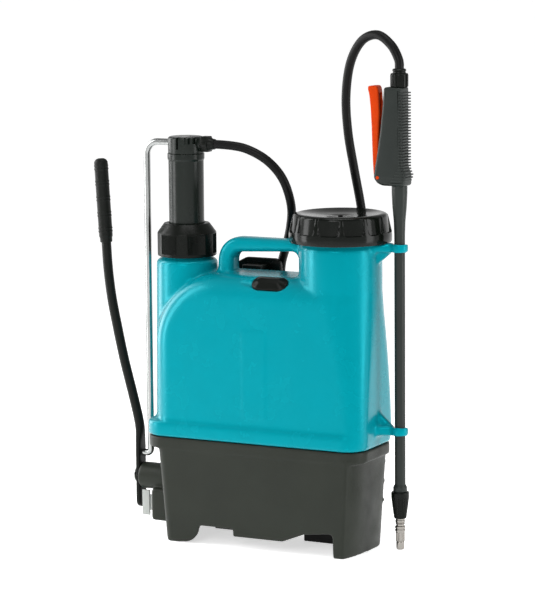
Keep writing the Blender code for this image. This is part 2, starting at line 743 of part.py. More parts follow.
def make_handle_shells():
    """The two halves of the trigger handle, split on the middle plane."""
    half_width = 0.0140
    wall = 0.0024
    shells = []
    for name, side in (("handle_shell_front", -1), ("handle_shell_rear", 1)):
        y0, y1 = sorted((side * GAP / 2, side * (half_width + 0.01)))
        shell = upright(name, handle_outline(0), -half_width, half_width, 0.0050, 2)
        half = block("half", (0.15, y0, 0.49), (0.23, y1, 0.66))
        shell = boolean(shell, [half], "INTERSECT")
        room = upright("room", handle_outline(wall), -half_width + wall, half_width - wall, 0.0030, 1)
        cuts = [room]
        cuts.append(rod("hose_hole", 0.0073, (LANCE_X, 0, 0.630), (LANCE_X, 0, 0.650), 20))
        cuts.append(rod("lance_hole", 0.0110, (LANCE_X, 0, 0.500), (LANCE_X, 0, 0.515), 20))
        cuts.append(rod("stem_hole", 0.0032, (0.180, 0, STEM_Z), (0.196, 0, STEM_Z), 16))
        cuts.append(block("trigger_slot", (0.150, -0.0088, 0.5080), (0.1835, 0.0088, 0.5560)))
        pin_x, pin_z = TRIGGER_PIN
        cuts.append(rod("pin_hole", TRIGGER_PIN_R + 0.0002, (pin_x, -0.03, pin_z), (pin_x, 0.03, pin_z), 16))
        shells.append(boolean(shell, cuts))
    return shells


def make_valve_housing():
    """The valve body inside the handle, from the hose spigot to the lance."""
    profile = [
        (0, 0.6378), (0.0055, 0.6378), (0.0068, 0.6300), (0.0068, 0.5800), (0.0095, 0.5760), (0.0095, 0.5480),
        (0.0068, 0.5440), (0.0068, 0.5160), (0, 0.5160),
    ]
    housing = turned("valve_housing", profile, LANCE_X, steps=20)
    bore = rod("bore", 0.0031, (0.170, 0, STEM_Z), (0.206, 0, STEM_Z), 16)
    return boolean(housing, [bore])


def make_plunger():
    profile = [(0, 0.0270), (0.0026, 0.0270), (0.0026, 0.0008), (0.0018, 0), (0, 0)]
    return turned_along_x("valve_plunger", profile, STEM_X, 0, STEM_Z, 16)


def make_trigger():
    outline = [
        (0.1700, 0.5120), (0.1640, 0.5200), (0.1640, 0.5560), (0.1630, 0.6000), (0.1620, 0.6150),
        (0.1580, 0.6330), (0.1600, 0.6375), (0.1700, 0.6385), (0.1722, 0.6330), (0.1738, 0.6020),
        (0.1722, 0.5700), (0.1722, 0.5500), (0.1775, 0.5300), (0.1790, 0.5150), (0.1765, 0.5100),
    ]
    trigger = upright("trigger", outline, -0.0080, 0.0080, 0.0018, 2)
    pin_x, pin_z = TRIGGER_PIN
    hole = rod("hole", TRIGGER_PIN_R + 0.0003, (pin_x, -0.02, pin_z), (pin_x, 0.02, pin_z), 16)
    return boolean(trigger, [hole])


def make_trigger_pin():
    pin_x, pin_z = TRIGGER_PIN
    profile = [(0, 0.0137), (TRIGGER_PIN_R, 0.0137), (TRIGGER_PIN_R, -0.0137), (0, -0.0137)]
    return turned_along_y("trigger_pin", profile, pin_x, 0, pin_z, 14)


def make_trigger_spring():
    """The return spring, coiled beside the pin with one leg up against the trigger's back."""
    turns = 3
    points = []
    for k in range(turns * 10 + 1):
        angle = 2 * math.pi * k / 10
        y = -0.0030 + 0.006 * k / (turns * 10)
        points.append((0.1850 + 0.0030 * math.cos(angle), y, 0.5300 + 0.0030 * math.sin(angle)))
    return tube("trigger_spring", points, 0.0005, 1)


def make_handle_nut():
    """The union nut that holds the hose on the handle."""
    low = HANDLE_TOP_Z + GAP
    flutes = []
    for k in range(12):
        for offset, radius in ((0.0, 0.0121), (0.35, 0.0121), (0.5, 0.0113), (0.85, 0.0113)):
            angle = 2 * math.pi * (k + offset) / 12
            flutes.append((LANCE_X + radius * math.cos(angle), radius * math.sin(angle)))
    nut = slab("handle_hose_nut", flutes, low, low + 0.0185, 0.0005)
    collar = turned(
        "collar", [(0, 0.6625), (0.0082, 0.6625), (0.0086, 0.6610), (0.0086, 0.6560), (0, 0.6560)], LANCE_X, steps=20
    )
    return boolean(nut, [collar], "UNION")


def make_lance():
    """The grey lance tube, with its long conical root and a flared end for the nozzle."""
    bore = 0.0045
    profile = [
        (bore, 0.5155), (0.0066, 0.5155), (0.0106, 0.5052), (0.0106, 0.4960), (0.0079, 0.4580),
        (LANCE_R, 0.4500), (LANCE_R, 0.0990), (0.0095, 0.0965), (0.0095, LANCE_BOTTOM_Z), (0.0060, LANCE_BOTTOM_Z),
        (0.0060, 0.0740), (bore, 0.0740),
    ]
    return turned("lance_tube", profile, LANCE_X, steps=28)


def make_nozzle_nut():
    top = LANCE_BOTTOM_Z - GAP
    profile = [
        (0.0064, top), (0.0118, top), (0.0122, top - 0.0015), (0.0122, top - 0.0070), (0.0082, 0.0530),
        (0.0078, 0.0520), (0.0064, 0.0520),
    ]
    return turned("nozzle_nut", profile, LANCE_X, steps=28)


def make_nozzle():
    profile = [
        (0.0020, 0.0735), (0.0060, 0.0735), (0.0060, 0.0500), (0.0066, 0.0495), (0.0066, 0.0450), (0.0054, 0.0440),
        (0.0054, 0.0420), (0.0070, 0.0410), (0.0070, 0.0350), (0.0062, 0.0335), (0.0062, 0.0205), (0.0020, 0.0205),
    ]
    return turned("nozzle_body", profile, LANCE_X, steps=24)


def make_nozzle_tip():
    profile = [
        (0.0010, 0.0202), (0.0050, 0.0202), (0.0055, 0.0190), (0.0055, 0.0100), (0.0048, 0.0088), (0.0010, 0.0088),
    ]
    return turned("nozzle_tip", profile, LANCE_X, steps=24)


# ---------------------------------------------------------------- straps and hose


def ribbon(name, points, width, thickness, x, spacing=0.012):
    """A band of a given width in X that follows a YZ route through its middle."""
    route = smooth_route([(0, y, z) for y, z in points], spacing)
    left, right = [], []
    for k, point in enumerate(route):
        before, after = route[max(k - 1, 0)], route[min(k + 1, len(route) - 1)]
        along = (after - before).normalized()
        across = Vector((0, -along.z, along.y)) * thickness / 2
        left.append((point + across)[1:])
        right.append((point - across)[1:])
    return sideways(name, left + right[::-1], x - width / 2, x + width / 2, min(0.002, thickness * 0.3))


PAD_ROUTE = [(0.0780, 0.372), (0.0900, 0.345), (0.1020, 0.290), (0.1030, 0.235), (0.0930, 0.185), (0.0840, 0.160)]
WEB_ROUTE = [(0.0800, 0.1440), (0.0740, 0.120), (0.0695, 0.085), (0.0670, 0.052)]
STRAP_X = 0.062


def make_strap_yoke():
    """The stiff black yoke behind the handle that both shoulder straps hang from."""
    outline = [
        (-0.092, 0.340), (-0.092, 0.366), (-0.083, 0.379), (-0.066, 0.388), (-0.019, 0.388), (-0.013, 0.384),
        (-0.010, 0.362), (0.080, 0.362), (0.092, 0.354), (0.092, 0.340),
    ]
    yoke = upright("strap_yoke", outline, 0.0630, 0.0710, 0.002)
    stem = upright("stem", [(-0.060, 0.366), (-0.060, 0.380), (-0.030, 0.380), (-0.030, 0.366)], 0.0400, 0.0660, 0.001)
    yoke = boolean(yoke, [stem], "UNION")
    saddle = make_loaf("saddle", -GAP)
    column = rod("column", FILLER_R + 0.0006, (FILLER_X, 0, 0.30), (FILLER_X, 0, 0.45), 48)
    return boolean(yoke, [saddle, column])


def make_buckle(name, x):
    """A ladder buckle between a pad and its webbing."""
    return block(name, (x - 0.0190, 0.0770, 0.1455), (x + 0.0190, 0.0850, 0.1535), 0.0015)


def make_hook(name, x):
    """The moulded hook at the foot of a strap, let into the stand's back wall."""
    return block(name, (x - 0.0160, 0.0590, 0.0380), (x + 0.0160, 0.0720, 0.0505), 0.0015)


def make_foot(name, x0, x1, y0, top):
    """A rubber pad under the rear of the stand, seen through an opening in its front."""
    pad = block(name, (x0, y0, 0.0003), (x1, 0.0480, top), 0.001)
    stem = block("stem", (x0 + 0.004, 0.0400, 0.0060), (x1 - 0.004, 0.0516, top - 0.001))
    return boolean(pad, [stem], "UNION")


def make_hose_clip():
    """The clip on the tank's back that holds the hose, over the place where its two lengths meet."""
    ring = turned_along_y(
        "hose_clip", [(HOSE_R + GAP, 0.006), (0.0090, 0.006), (0.0090, -0.006), (HOSE_R + GAP, -0.006)], 0, 0, 0, 20
    )
    before, after = hose_lengths()
    along = (after[1] - before[-2]).normalized()
    ring.data.transform(Vector((0, 1, 0)).rotation_difference(along).to_matrix().to_4x4())
    ring.data.transform(Matrix.Translation((before[-1] + after[0]) / 2))
    x, y, z = (before[-1] + after[0]) / 2
    stub = block("stub", (x - 0.005, LOAF_HALF_DEPTH + GAP, z - 0.005), (x + 0.005, y - 0.0075, z + 0.005))
    return boolean(ring, [stub], "UNION")


def hose_lengths():
    """One hose from the pump's nut to the handle's nut, in two lengths that meet behind the tank."""
    start = PUMP_X + SPOUT_LENGTH + GAP + HOSE_NUT_LENGTH + GAP
    route = [
        (start, 0.000, SPOUT_Z), (-0.0580, 0.002, 0.5505), (-0.0380, 0.005, 0.5475), (-0.0190, 0.008, 0.5400),
        (-0.0040, 0.012, 0.5300), (0.0085, 0.017, 0.5160), (0.0160, 0.023, 0.5000), (0.0192, 0.031, 0.4800),
        (0.0180, 0.040, 0.4600), (0.0110, 0.051, 0.4400), (0.0010, 0.064, 0.4210), (-0.0120, 0.079, 0.4000),
        (-0.0225, 0.087, 0.3750), (-0.0240, 0.0885, 0.3400), (-0.0150, 0.088, 0.2900), (-0.0020, 0.0860, 0.2500),
        (0.014, 0.084, 0.2250), (0.0360, 0.0790, 0.2060), (0.0640, 0.0760, 0.1980), (0.0920, 0.0780, 0.2080),
        (0.1120, 0.0800, 0.2340), (0.1210, 0.0820, 0.2750), (0.1220, 0.0840, 0.3300), (0.1150, 0.0860, 0.3850),
        (0.1070, 0.0860, 0.4300), (0.1030, 0.0820, 0.4700), (0.1000, 0.0680, 0.5200), (0.0990, 0.0520, 0.5700),
        (0.1030, 0.0380, 0.6200), (0.1150, 0.0270, 0.6660), (0.1370, 0.0170, 0.6970), (0.1640, 0.0090, 0.7060),
        (0.1870, 0.0030, 0.6930), (0.1990, 0.0005, 0.6740), (0.2000, 0.0000, HOSE_TOP_Z),
    ]
    points = smooth_route(route, 0.020)
    lead = 0.004
    points.insert(1, points[0] + Vector((lead, 0, 0)))
    points.insert(-1, points[-1] + Vector((0, 0, lead)))
    meeting = min(range(len(points)), key=lambda k: (points[k] - HOSE_MEETING).length)
    middle = points[meeting]
    along = (points[meeting + 1] - points[meeting - 1]).normalized()
    before = [*points[:meeting], middle - along * lead, middle - along * GAP / 2]
    after = [middle + along * GAP / 2, middle + along * lead, *points[meeting + 1 :]]
    return before, after


# ---------------------------------------------------------------- assembly


def coloured(obj, made):
    obj.data.materials.clear()
    obj.data.materials.append(made)
    return obj


def build():
    clear_scene()
    teal = material("teal_plastic", TEAL, 0.34)
    charcoal = material("charcoal_plastic", CHARCOAL, 0.52)
    black = material("black_plastic", BLACK, 0.42)
    rubber = material("black_rubber", (0.012, 0.012, 0.012), 0.75)
    orange = material("orange_plastic", (0.720, 0.075, 0.012), 0.40)
    zinc = material("zinc_steel", (0.62, 0.64, 0.64), 0.26, 1.0)
    brass = material("nickel_brass", (0.66, 0.64, 0.58), 0.24, 1.0)
    web = material("black_webbing", (0.016, 0.016, 0.017), 0.90)
    white = material("white_plastic", (0.72, 0.73, 0.70), 0.45)

    tank = [
        coloured(make_tank(), teal),
        coloured(make_base(), charcoal),
        coloured(make_pivot_bracket(), zinc),
        coloured(make_strap_anchor(), black),
        coloured(make_pump_nut(), black),
        coloured(make_gland_seal(), rubber),
        coloured(make_barrel(), white),
        coloured(make_foot_valve(), black),
        coloured(make_strainer(), white),
        coloured(make_strap_yoke(), black),
        coloured(make_hose_clip(), black),
        coloured(make_foot("rubber_foot_left", -0.107, -0.075, 0.0380, 0.0120), rubber),
        coloured(make_foot("rubber_foot_right", 0.043, 0.090, 0.0200, 0.0150), rubber),
    ]
    for side, x in (("left", -STRAP_X), ("right", STRAP_X)):
        tank.append(coloured(ribbon(f"shoulder_pad_{side}", PAD_ROUTE, 0.056, 0.013, x), web))
        tank.append(coloured(ribbon(f"strap_webbing_{side}", WEB_ROUTE, 0.030, 0.0022, x), web))
        tank.append(coloured(make_buckle(f"strap_buckle_{side}", x), black))
        tank.append(coloured(make_hook(f"strap_hook_{side}", x), black))
    for name, points in zip(("hose_pump_side", "hose_lance_side"), hose_lengths()):
        tank.append(coloured(tube(name, points, HOSE_R, 2), rubber))

    lever = [
        coloured(make_lever_tube(), black),
        coloured(make_lever_grip(), black),
        coloured(make_shaft(), zinc),
        coloured(make_shaft_clip(), zinc),
    ]
    pump = [
        coloured(make_chamber(), charcoal),
        coloured(make_head(), charcoal),
        coloured(make_piston_cup(), rubber),
        coloured(make_dip_tube(), white),
        coloured(make_pump_hose_nut(), black),
    ]
    lance = [coloured(shell, charcoal) for shell in make_handle_shells()]
    lance += [
        coloured(make_valve_housing(), brass),
        coloured(make_trigger_pin(), orange),
        coloured(make_trigger_spring(), zinc),
        coloured(make_handle_nut(), black),
        coloured(make_lance(), charcoal),
    ]
    nozzle = [
        coloured(make_nozzle_nut(), black),
        coloured(make_nozzle(), brass),
        coloured(make_nozzle_tip(), brass),
    ]
    pin_x, pin_z = TRIGGER_PIN
    inlet_ball = ball("inlet_valve_ball", 0.0078, PUMP_X, 0, INLET_BALL_Z)
    outlet_ball = ball("outlet_valve_ball", 0.0054, PUMP_X, 0, OUTLET_BALL_Z)
    cap = [coloured(make_cap(), black), coloured(make_vent_valve(), rubber)]
    bodies = {
        "tank_body": ((0, 0, 0), tank),
        "lever": ((BLADE_X, 0, PIVOT_Z), lever),
        "pressure_chamber": ((PUMP_X, 0, CHAMBER_TOP_Z), pump),
        "rod": ((ROD_X, 0, ROD_AXIS_Z), [coloured(make_rod(), zinc)]),
        "cap_lifter": ((FILLER_X, 0, CAP_BOTTOM_Z), [coloured(make_cap_seal(), rubber)]),
        "cap": ((FILLER_X, 0, CAP_BOTTOM_Z), cap),
        "lance": ((LANCE_X, 0, HANDLE_BOTTOM_Z), lance),
        "trigger_lever": ((pin_x, 0, pin_z), [coloured(make_trigger(), orange)]),
        "valve_stem": ((STEM_X, 0, STEM_Z), [coloured(make_plunger(), brass)]),
        "nozzle": ((LANCE_X, 0, LANCE_BOTTOM_Z), nozzle),
        "inlet_ball": ((PUMP_X, 0, INLET_BALL_Z), [coloured(inlet_ball, zinc)]),
        "outlet_ball": ((PUMP_X, 0, OUTLET_BALL_Z), [coloured(outlet_ball, zinc)]),
    }
    for name, (pivot, objects) in bodies.items():
        empty = bpy.data.objects.new(f"{name}_pivot", None)
        empty.location = Vector(pivot) + Vector((TANK_X, TANK_Y, 0))
        bpy.data.collections[SPRAYER].objects.link(empty)
        for obj in objects:
            obj.data.transform(Matrix.Translation(-Vector(pivot)))
            obj.parent = empty


build()
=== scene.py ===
"""The looks of the backpack sprayer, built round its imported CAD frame.

Every piece is made in the tank's own coordinates: metres, +Z up, with the tank's centre line at
x = y = 0 and its feet at z = 0. piece() then moves it to where the CAD has it.
"""

import math

import bmesh
import bpy
import numpy as np
from mathutils import Matrix, Vector


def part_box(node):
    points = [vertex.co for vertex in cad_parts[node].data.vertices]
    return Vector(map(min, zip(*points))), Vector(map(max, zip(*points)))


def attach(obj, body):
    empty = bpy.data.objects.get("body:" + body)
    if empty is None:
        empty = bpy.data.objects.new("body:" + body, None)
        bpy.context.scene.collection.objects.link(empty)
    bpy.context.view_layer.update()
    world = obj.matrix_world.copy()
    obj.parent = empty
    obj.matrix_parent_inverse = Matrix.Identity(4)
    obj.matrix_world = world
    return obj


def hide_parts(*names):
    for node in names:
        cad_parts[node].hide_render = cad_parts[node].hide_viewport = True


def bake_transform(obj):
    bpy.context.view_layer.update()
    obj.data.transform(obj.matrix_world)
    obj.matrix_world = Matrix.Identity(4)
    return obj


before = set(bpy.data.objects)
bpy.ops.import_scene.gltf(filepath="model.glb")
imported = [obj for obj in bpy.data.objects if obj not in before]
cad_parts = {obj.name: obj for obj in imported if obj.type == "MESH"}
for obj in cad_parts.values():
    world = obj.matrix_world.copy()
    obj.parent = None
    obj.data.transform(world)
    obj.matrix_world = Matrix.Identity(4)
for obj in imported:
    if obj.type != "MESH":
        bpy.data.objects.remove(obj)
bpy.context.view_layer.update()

# Driving dimensions, as in the CAD part
PUMP_X = -0.125
FILLER_X = 0.112
LANCE_X = 0.2
PIN_X, PIN_Z = 0.1737, 0.517
ROD_X = -0.187
PIVOT_Z = 0.0775
BLADE_X = -0.204
SPOUT_Z = 0.5515
HOSE_R = 0.0062
GAP = 0.0003
WALL = 0.0035
SEAM_Z = 0.148

nut_low, nut_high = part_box("pump_nut")
TANK = Vector(((nut_low.x + nut_high.x) / 2 - PUMP_X, (nut_low.y + nut_high.y) / 2, 0))


# ---------------------------------------------------------------- camera, light and floor


def look_from(name, data, place, target, roll=0.0):
    """Adds a camera or light at a place, turned towards a target."""
    obj = bpy.data.objects.new(name, data)
    bpy.context.scene.collection.objects.link(obj)
    turn = (Vector(target) - Vector(place)).to_track_quat("-Z", "Y")
    obj.matrix_world = Matrix.Translation(place) @ turn.to_matrix().to_4x4() @ Matrix.Rotation(roll, 4, "Z")
    return obj


def set_inputs(node, values):
    for name, value in values.items():
        node.inputs[name].default_value = value


def add_camera():
    azimuth, elevation, distance = math.radians(27.25), math.radians(9.74), 4.14
    centre = TANK + Vector((0, 0, 0.245))
    back = Vector(
        (math.sin(azimuth) * math.cos(elevation), -math.cos(azimuth) * math.cos(elevation), math.sin(elevation))
    )
    data = bpy.data.cameras.new("camera")
    data.lens = 180
    data.clip_end = 50
    # The picture's centre lies above the tank's, so the camera looks at a point higher up.
    target = centre + Vector((0, 0, 0.0945))
    bpy.context.scene.camera = look_from("camera", data, centre + back * distance, target, math.radians(-0.5))


def softbox(name, place, target, size, power, colour=(1, 1, 1)):
    data = bpy.data.lights.new(name, "AREA")
    data.shape = "RECTANGLE"
    data.size, data.size_y = size
    data.energy = power
    data.color = colour
    look_from(name, data, place, target)


def add_studio():
    bpy.context.scene.view_settings.view_transform = "Standard"
    softbox("key", (-1.15, -0.7, 0.78), (0, 0, 0.6), (0.4, 1.5), 12)
    softbox("side", (-1.45, 0.12, 0.78), (0, 0, 0.6), (0.6, 1.5), 13)
    softbox("strip_right", (1.35, 0.05, 0.78), (0, 0, 0.6), (0.4, 1.5), 9)
    softbox("front", (0.6, -3.4, 1.9), (0, 0, 0.3), (1.2, 1.2), 36)
    softbox("top", (0.2, -0.3, 2.9), (0, 0, 0.3), (1.8, 1.2), 26)
    world = bpy.data.worlds.new("studio")
    world.use_nodes = True
    nodes, links = world.node_tree.nodes, world.node_tree.links
    # White at the horizon and greyer overhead.
    apart = nodes.new("ShaderNodeSeparateXYZ")
    links.new(nodes.new("ShaderNodeTexCoord").outputs["Generated"], apart.inputs["Vector"])
    shade = nodes.new("ShaderNodeMapRange")
    shade.interpolation_type = "SMOOTHSTEP"
    set_inputs(shade, {"From Min": 0.02, "From Max": 0.3, "To Min": 1.05, "To Max": 0.42})
    links.new(apart.outputs["Z"], shade.inputs["Value"])
    links.new(shade.outputs["Result"], nodes["Background"].inputs["Strength"])
    set_inputs(nodes["Background"], {"Color": (1, 1, 1, 1)})
    bpy.context.scene.world = world
    mesh = bpy.data.meshes.new("floor")
    reach = 30
    corners = [(-reach, -reach, 0), (reach, -reach, 0), (reach, reach, 0), (-reach, reach, 0)]
    mesh.from_pydata(corners, [], [(0, 1, 2, 3)])
    floor = bpy.data.objects.new("floor", mesh)
    floor.location.z = -0.0004
    bpy.context.scene.collection.objects.link(floor)
    paper = bpy.data.materials.new("floor_paper")
    paper.use_nodes = True
    # The floor glows a little, so that it is as white as the photo's background out to the horizon.
    set_inputs(
        paper.node_tree.nodes["Principled BSDF"],
        {
            "Base Color": (0.93, 0.93, 0.93, 1), "Roughness": 0.9, "Emission Color": (1, 1, 1, 1),
            "Emission Strength": 0.6,
        },
    )
    floor.data.materials.append(paper)


# ---------------------------------------------------------------- materials


def finish(name, colour, roughness, metallic=0.0, grain=(900, 0.1), variation=0.1, wear=0.25,
           wear_colour=None, spread=0.08, sheen=0.0, weave=None, brushed=None, specular=0.2, tint=(1, 1, 1)):
    """A procedural surface: uneven colour and gloss, a fine moulded grain, and lighter worn edges.

    grain is (scale, strength), weave is (threads per metre, strength) and brushed is the axis along the brush marks.
    """
    made = bpy.data.materials.new(name)
    made.use_nodes = True
    nodes, links = made.node_tree.nodes, made.node_tree.links
    shader = nodes["Principled BSDF"]
    set_inputs(shader, {
        "Metallic": metallic, "Specular IOR Level": specular, "Specular Tint": (*tint, 1), "Sheen Weight": sheen,
        "Sheen Roughness": 0.4,
    })
    place = nodes.new("ShaderNodeTexCoord").outputs["Object"]

    def noise(scale, detail, source=place):
        node = nodes.new("ShaderNodeTexNoise")
        set_inputs(node, {"Scale": scale, "Detail": detail})
        links.new(source, node.inputs["Vector"])
        return node.outputs["Fac"]

    def spread_over(source, low, high, start=0.3, end=0.7):
        node = nodes.new("ShaderNodeMapRange")
        set_inputs(node, {"From Min": start, "From Max": end, "To Min": low, "To Max": high})
        links.new(source, node.inputs["Value"])
        return node.outputs["Result"]

    def mixed(amount, first, second):
        node = nodes.new("ShaderNodeMix")
        node.data_type = "RGBA"
        links.new(amount, node.inputs["Factor"])
        for socket, value in zip(("A", "B"), (first, second)):
            target = [s for s in node.inputs if s.name == socket and s.type == "RGBA"][0]
            if isinstance(value, tuple):
                target.default_value = (*value, 1)
            else:
                links.new(value, target)
        return [s for s in node.outputs if s.type == "RGBA"][0]

    darker = tuple(c * (1 - variation) for c in colour)
    lighter = tuple(min(1, c * (1 + variation)) for c in colour)
    clouds = noise(14, 4)
    base = mixed(spread_over(clouds, 0, 1), darker, lighter)
    if weave:
        threads, _ = weave
        base = mixed(spread_over(noise(threads * 0.5, 2), 0, 0.6), base, tuple(c * 0.45 for c in colour))
    edge = nodes.new("ShaderNodeNewGeometry").outputs["Pointiness"]
    worn = spread_over(edge, 0, wear, 0.53, 0.62)
    base = mixed(worn, base, wear_colour or tuple(min(1, c * 1.5 + 0.03) for c in colour))
    links.new(base, shader.inputs["Base Color"])
    gloss = spread_over(noise(35, 5), roughness - spread, roughness + spread)
    links.new(gloss, shader.inputs["Roughness"])

    scale, strength = grain
    height = noise(scale, 3)
    if brushed is not None:
        stretch = nodes.new("ShaderNodeMapping")
        set_inputs(stretch, {"Scale": [0.03 if axis == brushed else 1 for axis in range(3)]})
        links.new(place, stretch.inputs["Vector"])
        height = noise(1800, 2, stretch.outputs["Vector"])
    if weave:
        waves = []
        for direction in ("X", "Z"):
            wave = nodes.new("ShaderNodeTexWave")
            wave.bands_direction = direction
            set_inputs(wave, {"Scale": weave[0] / 20, "Distortion": 0.6})
            links.new(place, wave.inputs["Vector"])
            waves.append(wave.outputs["Fac"])
        both = nodes.new("ShaderNodeMath")
        both.operation = "MULTIPLY"
        for wave, socket in zip(waves, both.inputs):
            links.new(wave, socket)
        height = both.outputs["Value"]
        strength = weave[1]
    bump = nodes.new("ShaderNodeBump")
    set_inputs(bump, {"Strength": strength, "Distance": 0.0006})
    links.new(height, bump.inputs["Height"])
    links.new(bump.outputs["Normal"], shader.inputs["Normal"])
    return made


LOOKS = {
    "teal_plastic": dict(
        colour=(0, 0.205, 0.25), roughness=0.25, grain=(420, 0.04), variation=0.02, wear=0.15,
        wear_colour=(0.01, 0.36, 0.42), spread=0.05, specular=0.6, tint=(0.02, 0.85, 1),
    ),
    "charcoal_plastic": dict(colour=(0.014, 0.017, 0.012), roughness=0.42, grain=(1500, 0.22), wear=0.35),
    "lance_plastic": dict(colour=(0.016, 0.02, 0.018), roughness=0.36, grain=(1200, 0.1), wear=0.3),
    "chamber_plastic": dict(colour=(0.007, 0.01, 0.008), roughness=0.24, grain=(1500, 0.05), wear=0.2, specular=0.2),
    "black_plastic": dict(colour=(0.002, 0.003, 0.002), roughness=0.3, grain=(1300, 0.16), wear=0.5, specular=0.14),
    "cap_plastic": dict(colour=(0.003, 0.004, 0.003), roughness=0.16, grain=(900, 0.04), wear=0.5, specular=0.16),
    "lever_plastic": dict(colour=(0.005, 0.006, 0.005), roughness=0.42, grain=(1300, 0.18), wear=0.4, specular=0.12),
    "black_rubber": dict(colour=(0.003, 0.003, 0.003), roughness=0.4, grain=(700, 0.12), wear=0.2, specular=0.12),
    "orange_plastic": dict(
        colour=(0.48, 0.036, 0.004), roughness=0.34, grain=(900, 0.08), wear_colour=(0.65, 0.1, 0.02),
        tint=(1, 0.4, 0.1),
    ),
    "zinc_steel": dict(colour=(0.36, 0.37, 0.365), roughness=0.18, metallic=1, wear=0.2, brushed=2),
    "plate_steel": dict(
        colour=(0.34, 0.355, 0.34), roughness=0.45, metallic=0.6, variation=0.08, wear=0.2, brushed=1
    ),
    "nickel_brass": dict(
        colour=(0.26, 0.245, 0.225), roughness=0.22, metallic=1, variation=0.12, wear=0.3, grain=(700, 0.06)
    ),
    "black_webbing": dict(
        colour=(0.009, 0.009, 0.01), roughness=0.82, variation=0.2, wear=0.2, sheen=0.2, weave=(900, 0.9)
    ),
    "black_pad_fabric": dict(
        colour=(0.01, 0.01, 0.011), roughness=0.86, variation=0.2, wear=0.2, sheen=0.3, weave=(520, 0.8)
    ),
    "white_plastic": dict(colour=(0.62, 0.63, 0.6), roughness=0.4, grain=(900, 0.08), variation=0.05, wear=0.1),
}


# ---------------------------------------------------------------- mesh tools


def add_mesh(name, points, faces):
    mesh = bpy.data.meshes.new(name)
    mesh.from_pydata([tuple(p) for p in points], [], faces)
    return add_object(name, mesh)


def add_object(name, data):
    obj = bpy.data.objects.new(name, data)
    bpy.context.scene.collection.objects.link(obj)
    return obj


def discard(*objects):
    for obj in objects:
        bpy.data.objects.remove(obj, do_unlink=True)


def shifted(obj, offset):
    obj.data.transform(Matrix.Translation(offset))
    return obj


def baked(obj):
    """The same object with its modifiers or curve settings turned into a clean mesh."""
    bpy.context.view_layer.update()
    mesh = bpy.data.meshes.new_from_object(obj.evaluated_get(bpy.context.evaluated_depsgraph_get()))
    name = obj.name
    discard(obj)
    bm = bmesh.new()
    bm.from_mesh(mesh)
    bmesh.ops.remove_doubles(bm, verts=bm.verts, dist=1e-6)
    bmesh.ops.dissolve_degenerate(bm, edges=bm.edges, dist=1e-6)
    bmesh.ops.recalc_face_normals(bm, faces=bm.faces)
    bm.to_mesh(mesh)
    bm.free()
    return add_object(name, mesh)


def boolean(obj, others, operation="DIFFERENCE"):
    for other in others:
        step = obj.modifiers.new(operation.lower(), "BOOLEAN")
        step.operation = operation
        step.solver = "EXACT"
        step.object = other
    made = baked(obj)
    discard(*others)
    return made


def joined(obj, others):
    """One mesh that holds the faces of all, for a shape that is remeshed next."""
    bm = bmesh.new()
    for each in (obj, *others):
        bm.from_mesh(each.data)
    bm.to_mesh(obj.data)
    bm.free()
    discard(*others)
    return obj


def arc(cx, cy, radius, start, end, steps):
    """Points round part of a circle, with angles in degrees."""
    angles = [math.radians(start + (end - start) * k / steps) for k in range(steps + 1)]
    return [(cx + radius * math.cos(a), cy + radius * math.sin(a)) for a in angles]


def rounded_box(half_x, half_y, radius, steps=10):
    points = []
    for sign_x, sign_y, start in ((1, 1, 0), (-1, 1, 90), (-1, -1, 180), (1, -1, 270)):
        points += arc(sign_x * (half_x - radius), sign_y * (half_y - radius), radius, start, start + 90, steps)
    return points


def eased(points, radius, steps=4, closed=False):
    """A polyline with each corner replaced by a short curve."""
    done = []
    last = len(points) - 1
    for k, point in enumerate(points):
        if not closed and k in (0, last):
            done.append(tuple(point))
            continue
        corner, before, after = Vector(point), Vector(points[k - 1]), Vector(points[(k + 1) % len(points)])
        reach = min(radius, (before - corner).length * 0.45, (after - corner).length * 0.45)
        start = corner + (before - corner).normalized() * reach
        end = corner + (after - corner).normalized() * reach
        for i in range(steps + 1):
            t = i / steps
            done.append(tuple(start * (1 - t) ** 2 + corner * 2 * t * (1 - t) + end * t**2))
    return done


def lathe(name, profile, at=(0, 0, 0), toward="Z", steps=96, ease=0.0008, ripple=None):
    """Turns a (radius, height) profile. ripple(angle, radius, height) may change the radius."""
    open_ends = profile[0][0] < 1e-6 and profile[-1][0] < 1e-6
    outline = eased(profile, ease, closed=not open_ends) if ease else profile
    points, rings = [], []
    for radius, height in outline:
        if radius < 1e-6:
            rings.append([len(points)] * steps)
            points.append((0, 0, height))
            continue
        rings.append(list(range(len(points), len(points) + steps)))
        for k in range(steps):
            angle = 2 * math.pi * k / steps
            r = ripple(angle, radius, height) if ripple else radius
            points.append((r * math.cos(angle), r * math.sin(angle), height))
    pairs = list(zip(rings, rings[1:])) + ([] if open_ends else [(rings[-1], rings[0])])
    faces = []
    for lower, upper in pairs:
        for k in range(steps):
            j = (k + 1) % steps
            corners = list(dict.fromkeys((lower[k], lower[j], upper[j], upper[k])))
            if len(corners) > 2:
                faces.append(corners)
    obj = add_mesh(name, points, faces)
    turn = {"Z": Matrix(), "X": Matrix.Rotation(math.pi / 2, 4, "Y"), "Y": Matrix.Rotation(-math.pi / 2, 4, "X")}
    obj.data.transform(Matrix.Translation(at) @ turn[toward])
    return outward(obj)


def outward(obj):
    bm = bmesh.new()
    bm.from_mesh(obj.data)
    bmesh.ops.recalc_face_normals(bm, faces=bm.faces)
    if bm.calc_volume(signed=True) < 0:
        bmesh.ops.reverse_faces(bm, faces=bm.faces)
    bm.to_mesh(obj.data)
    bm.free()
    return obj


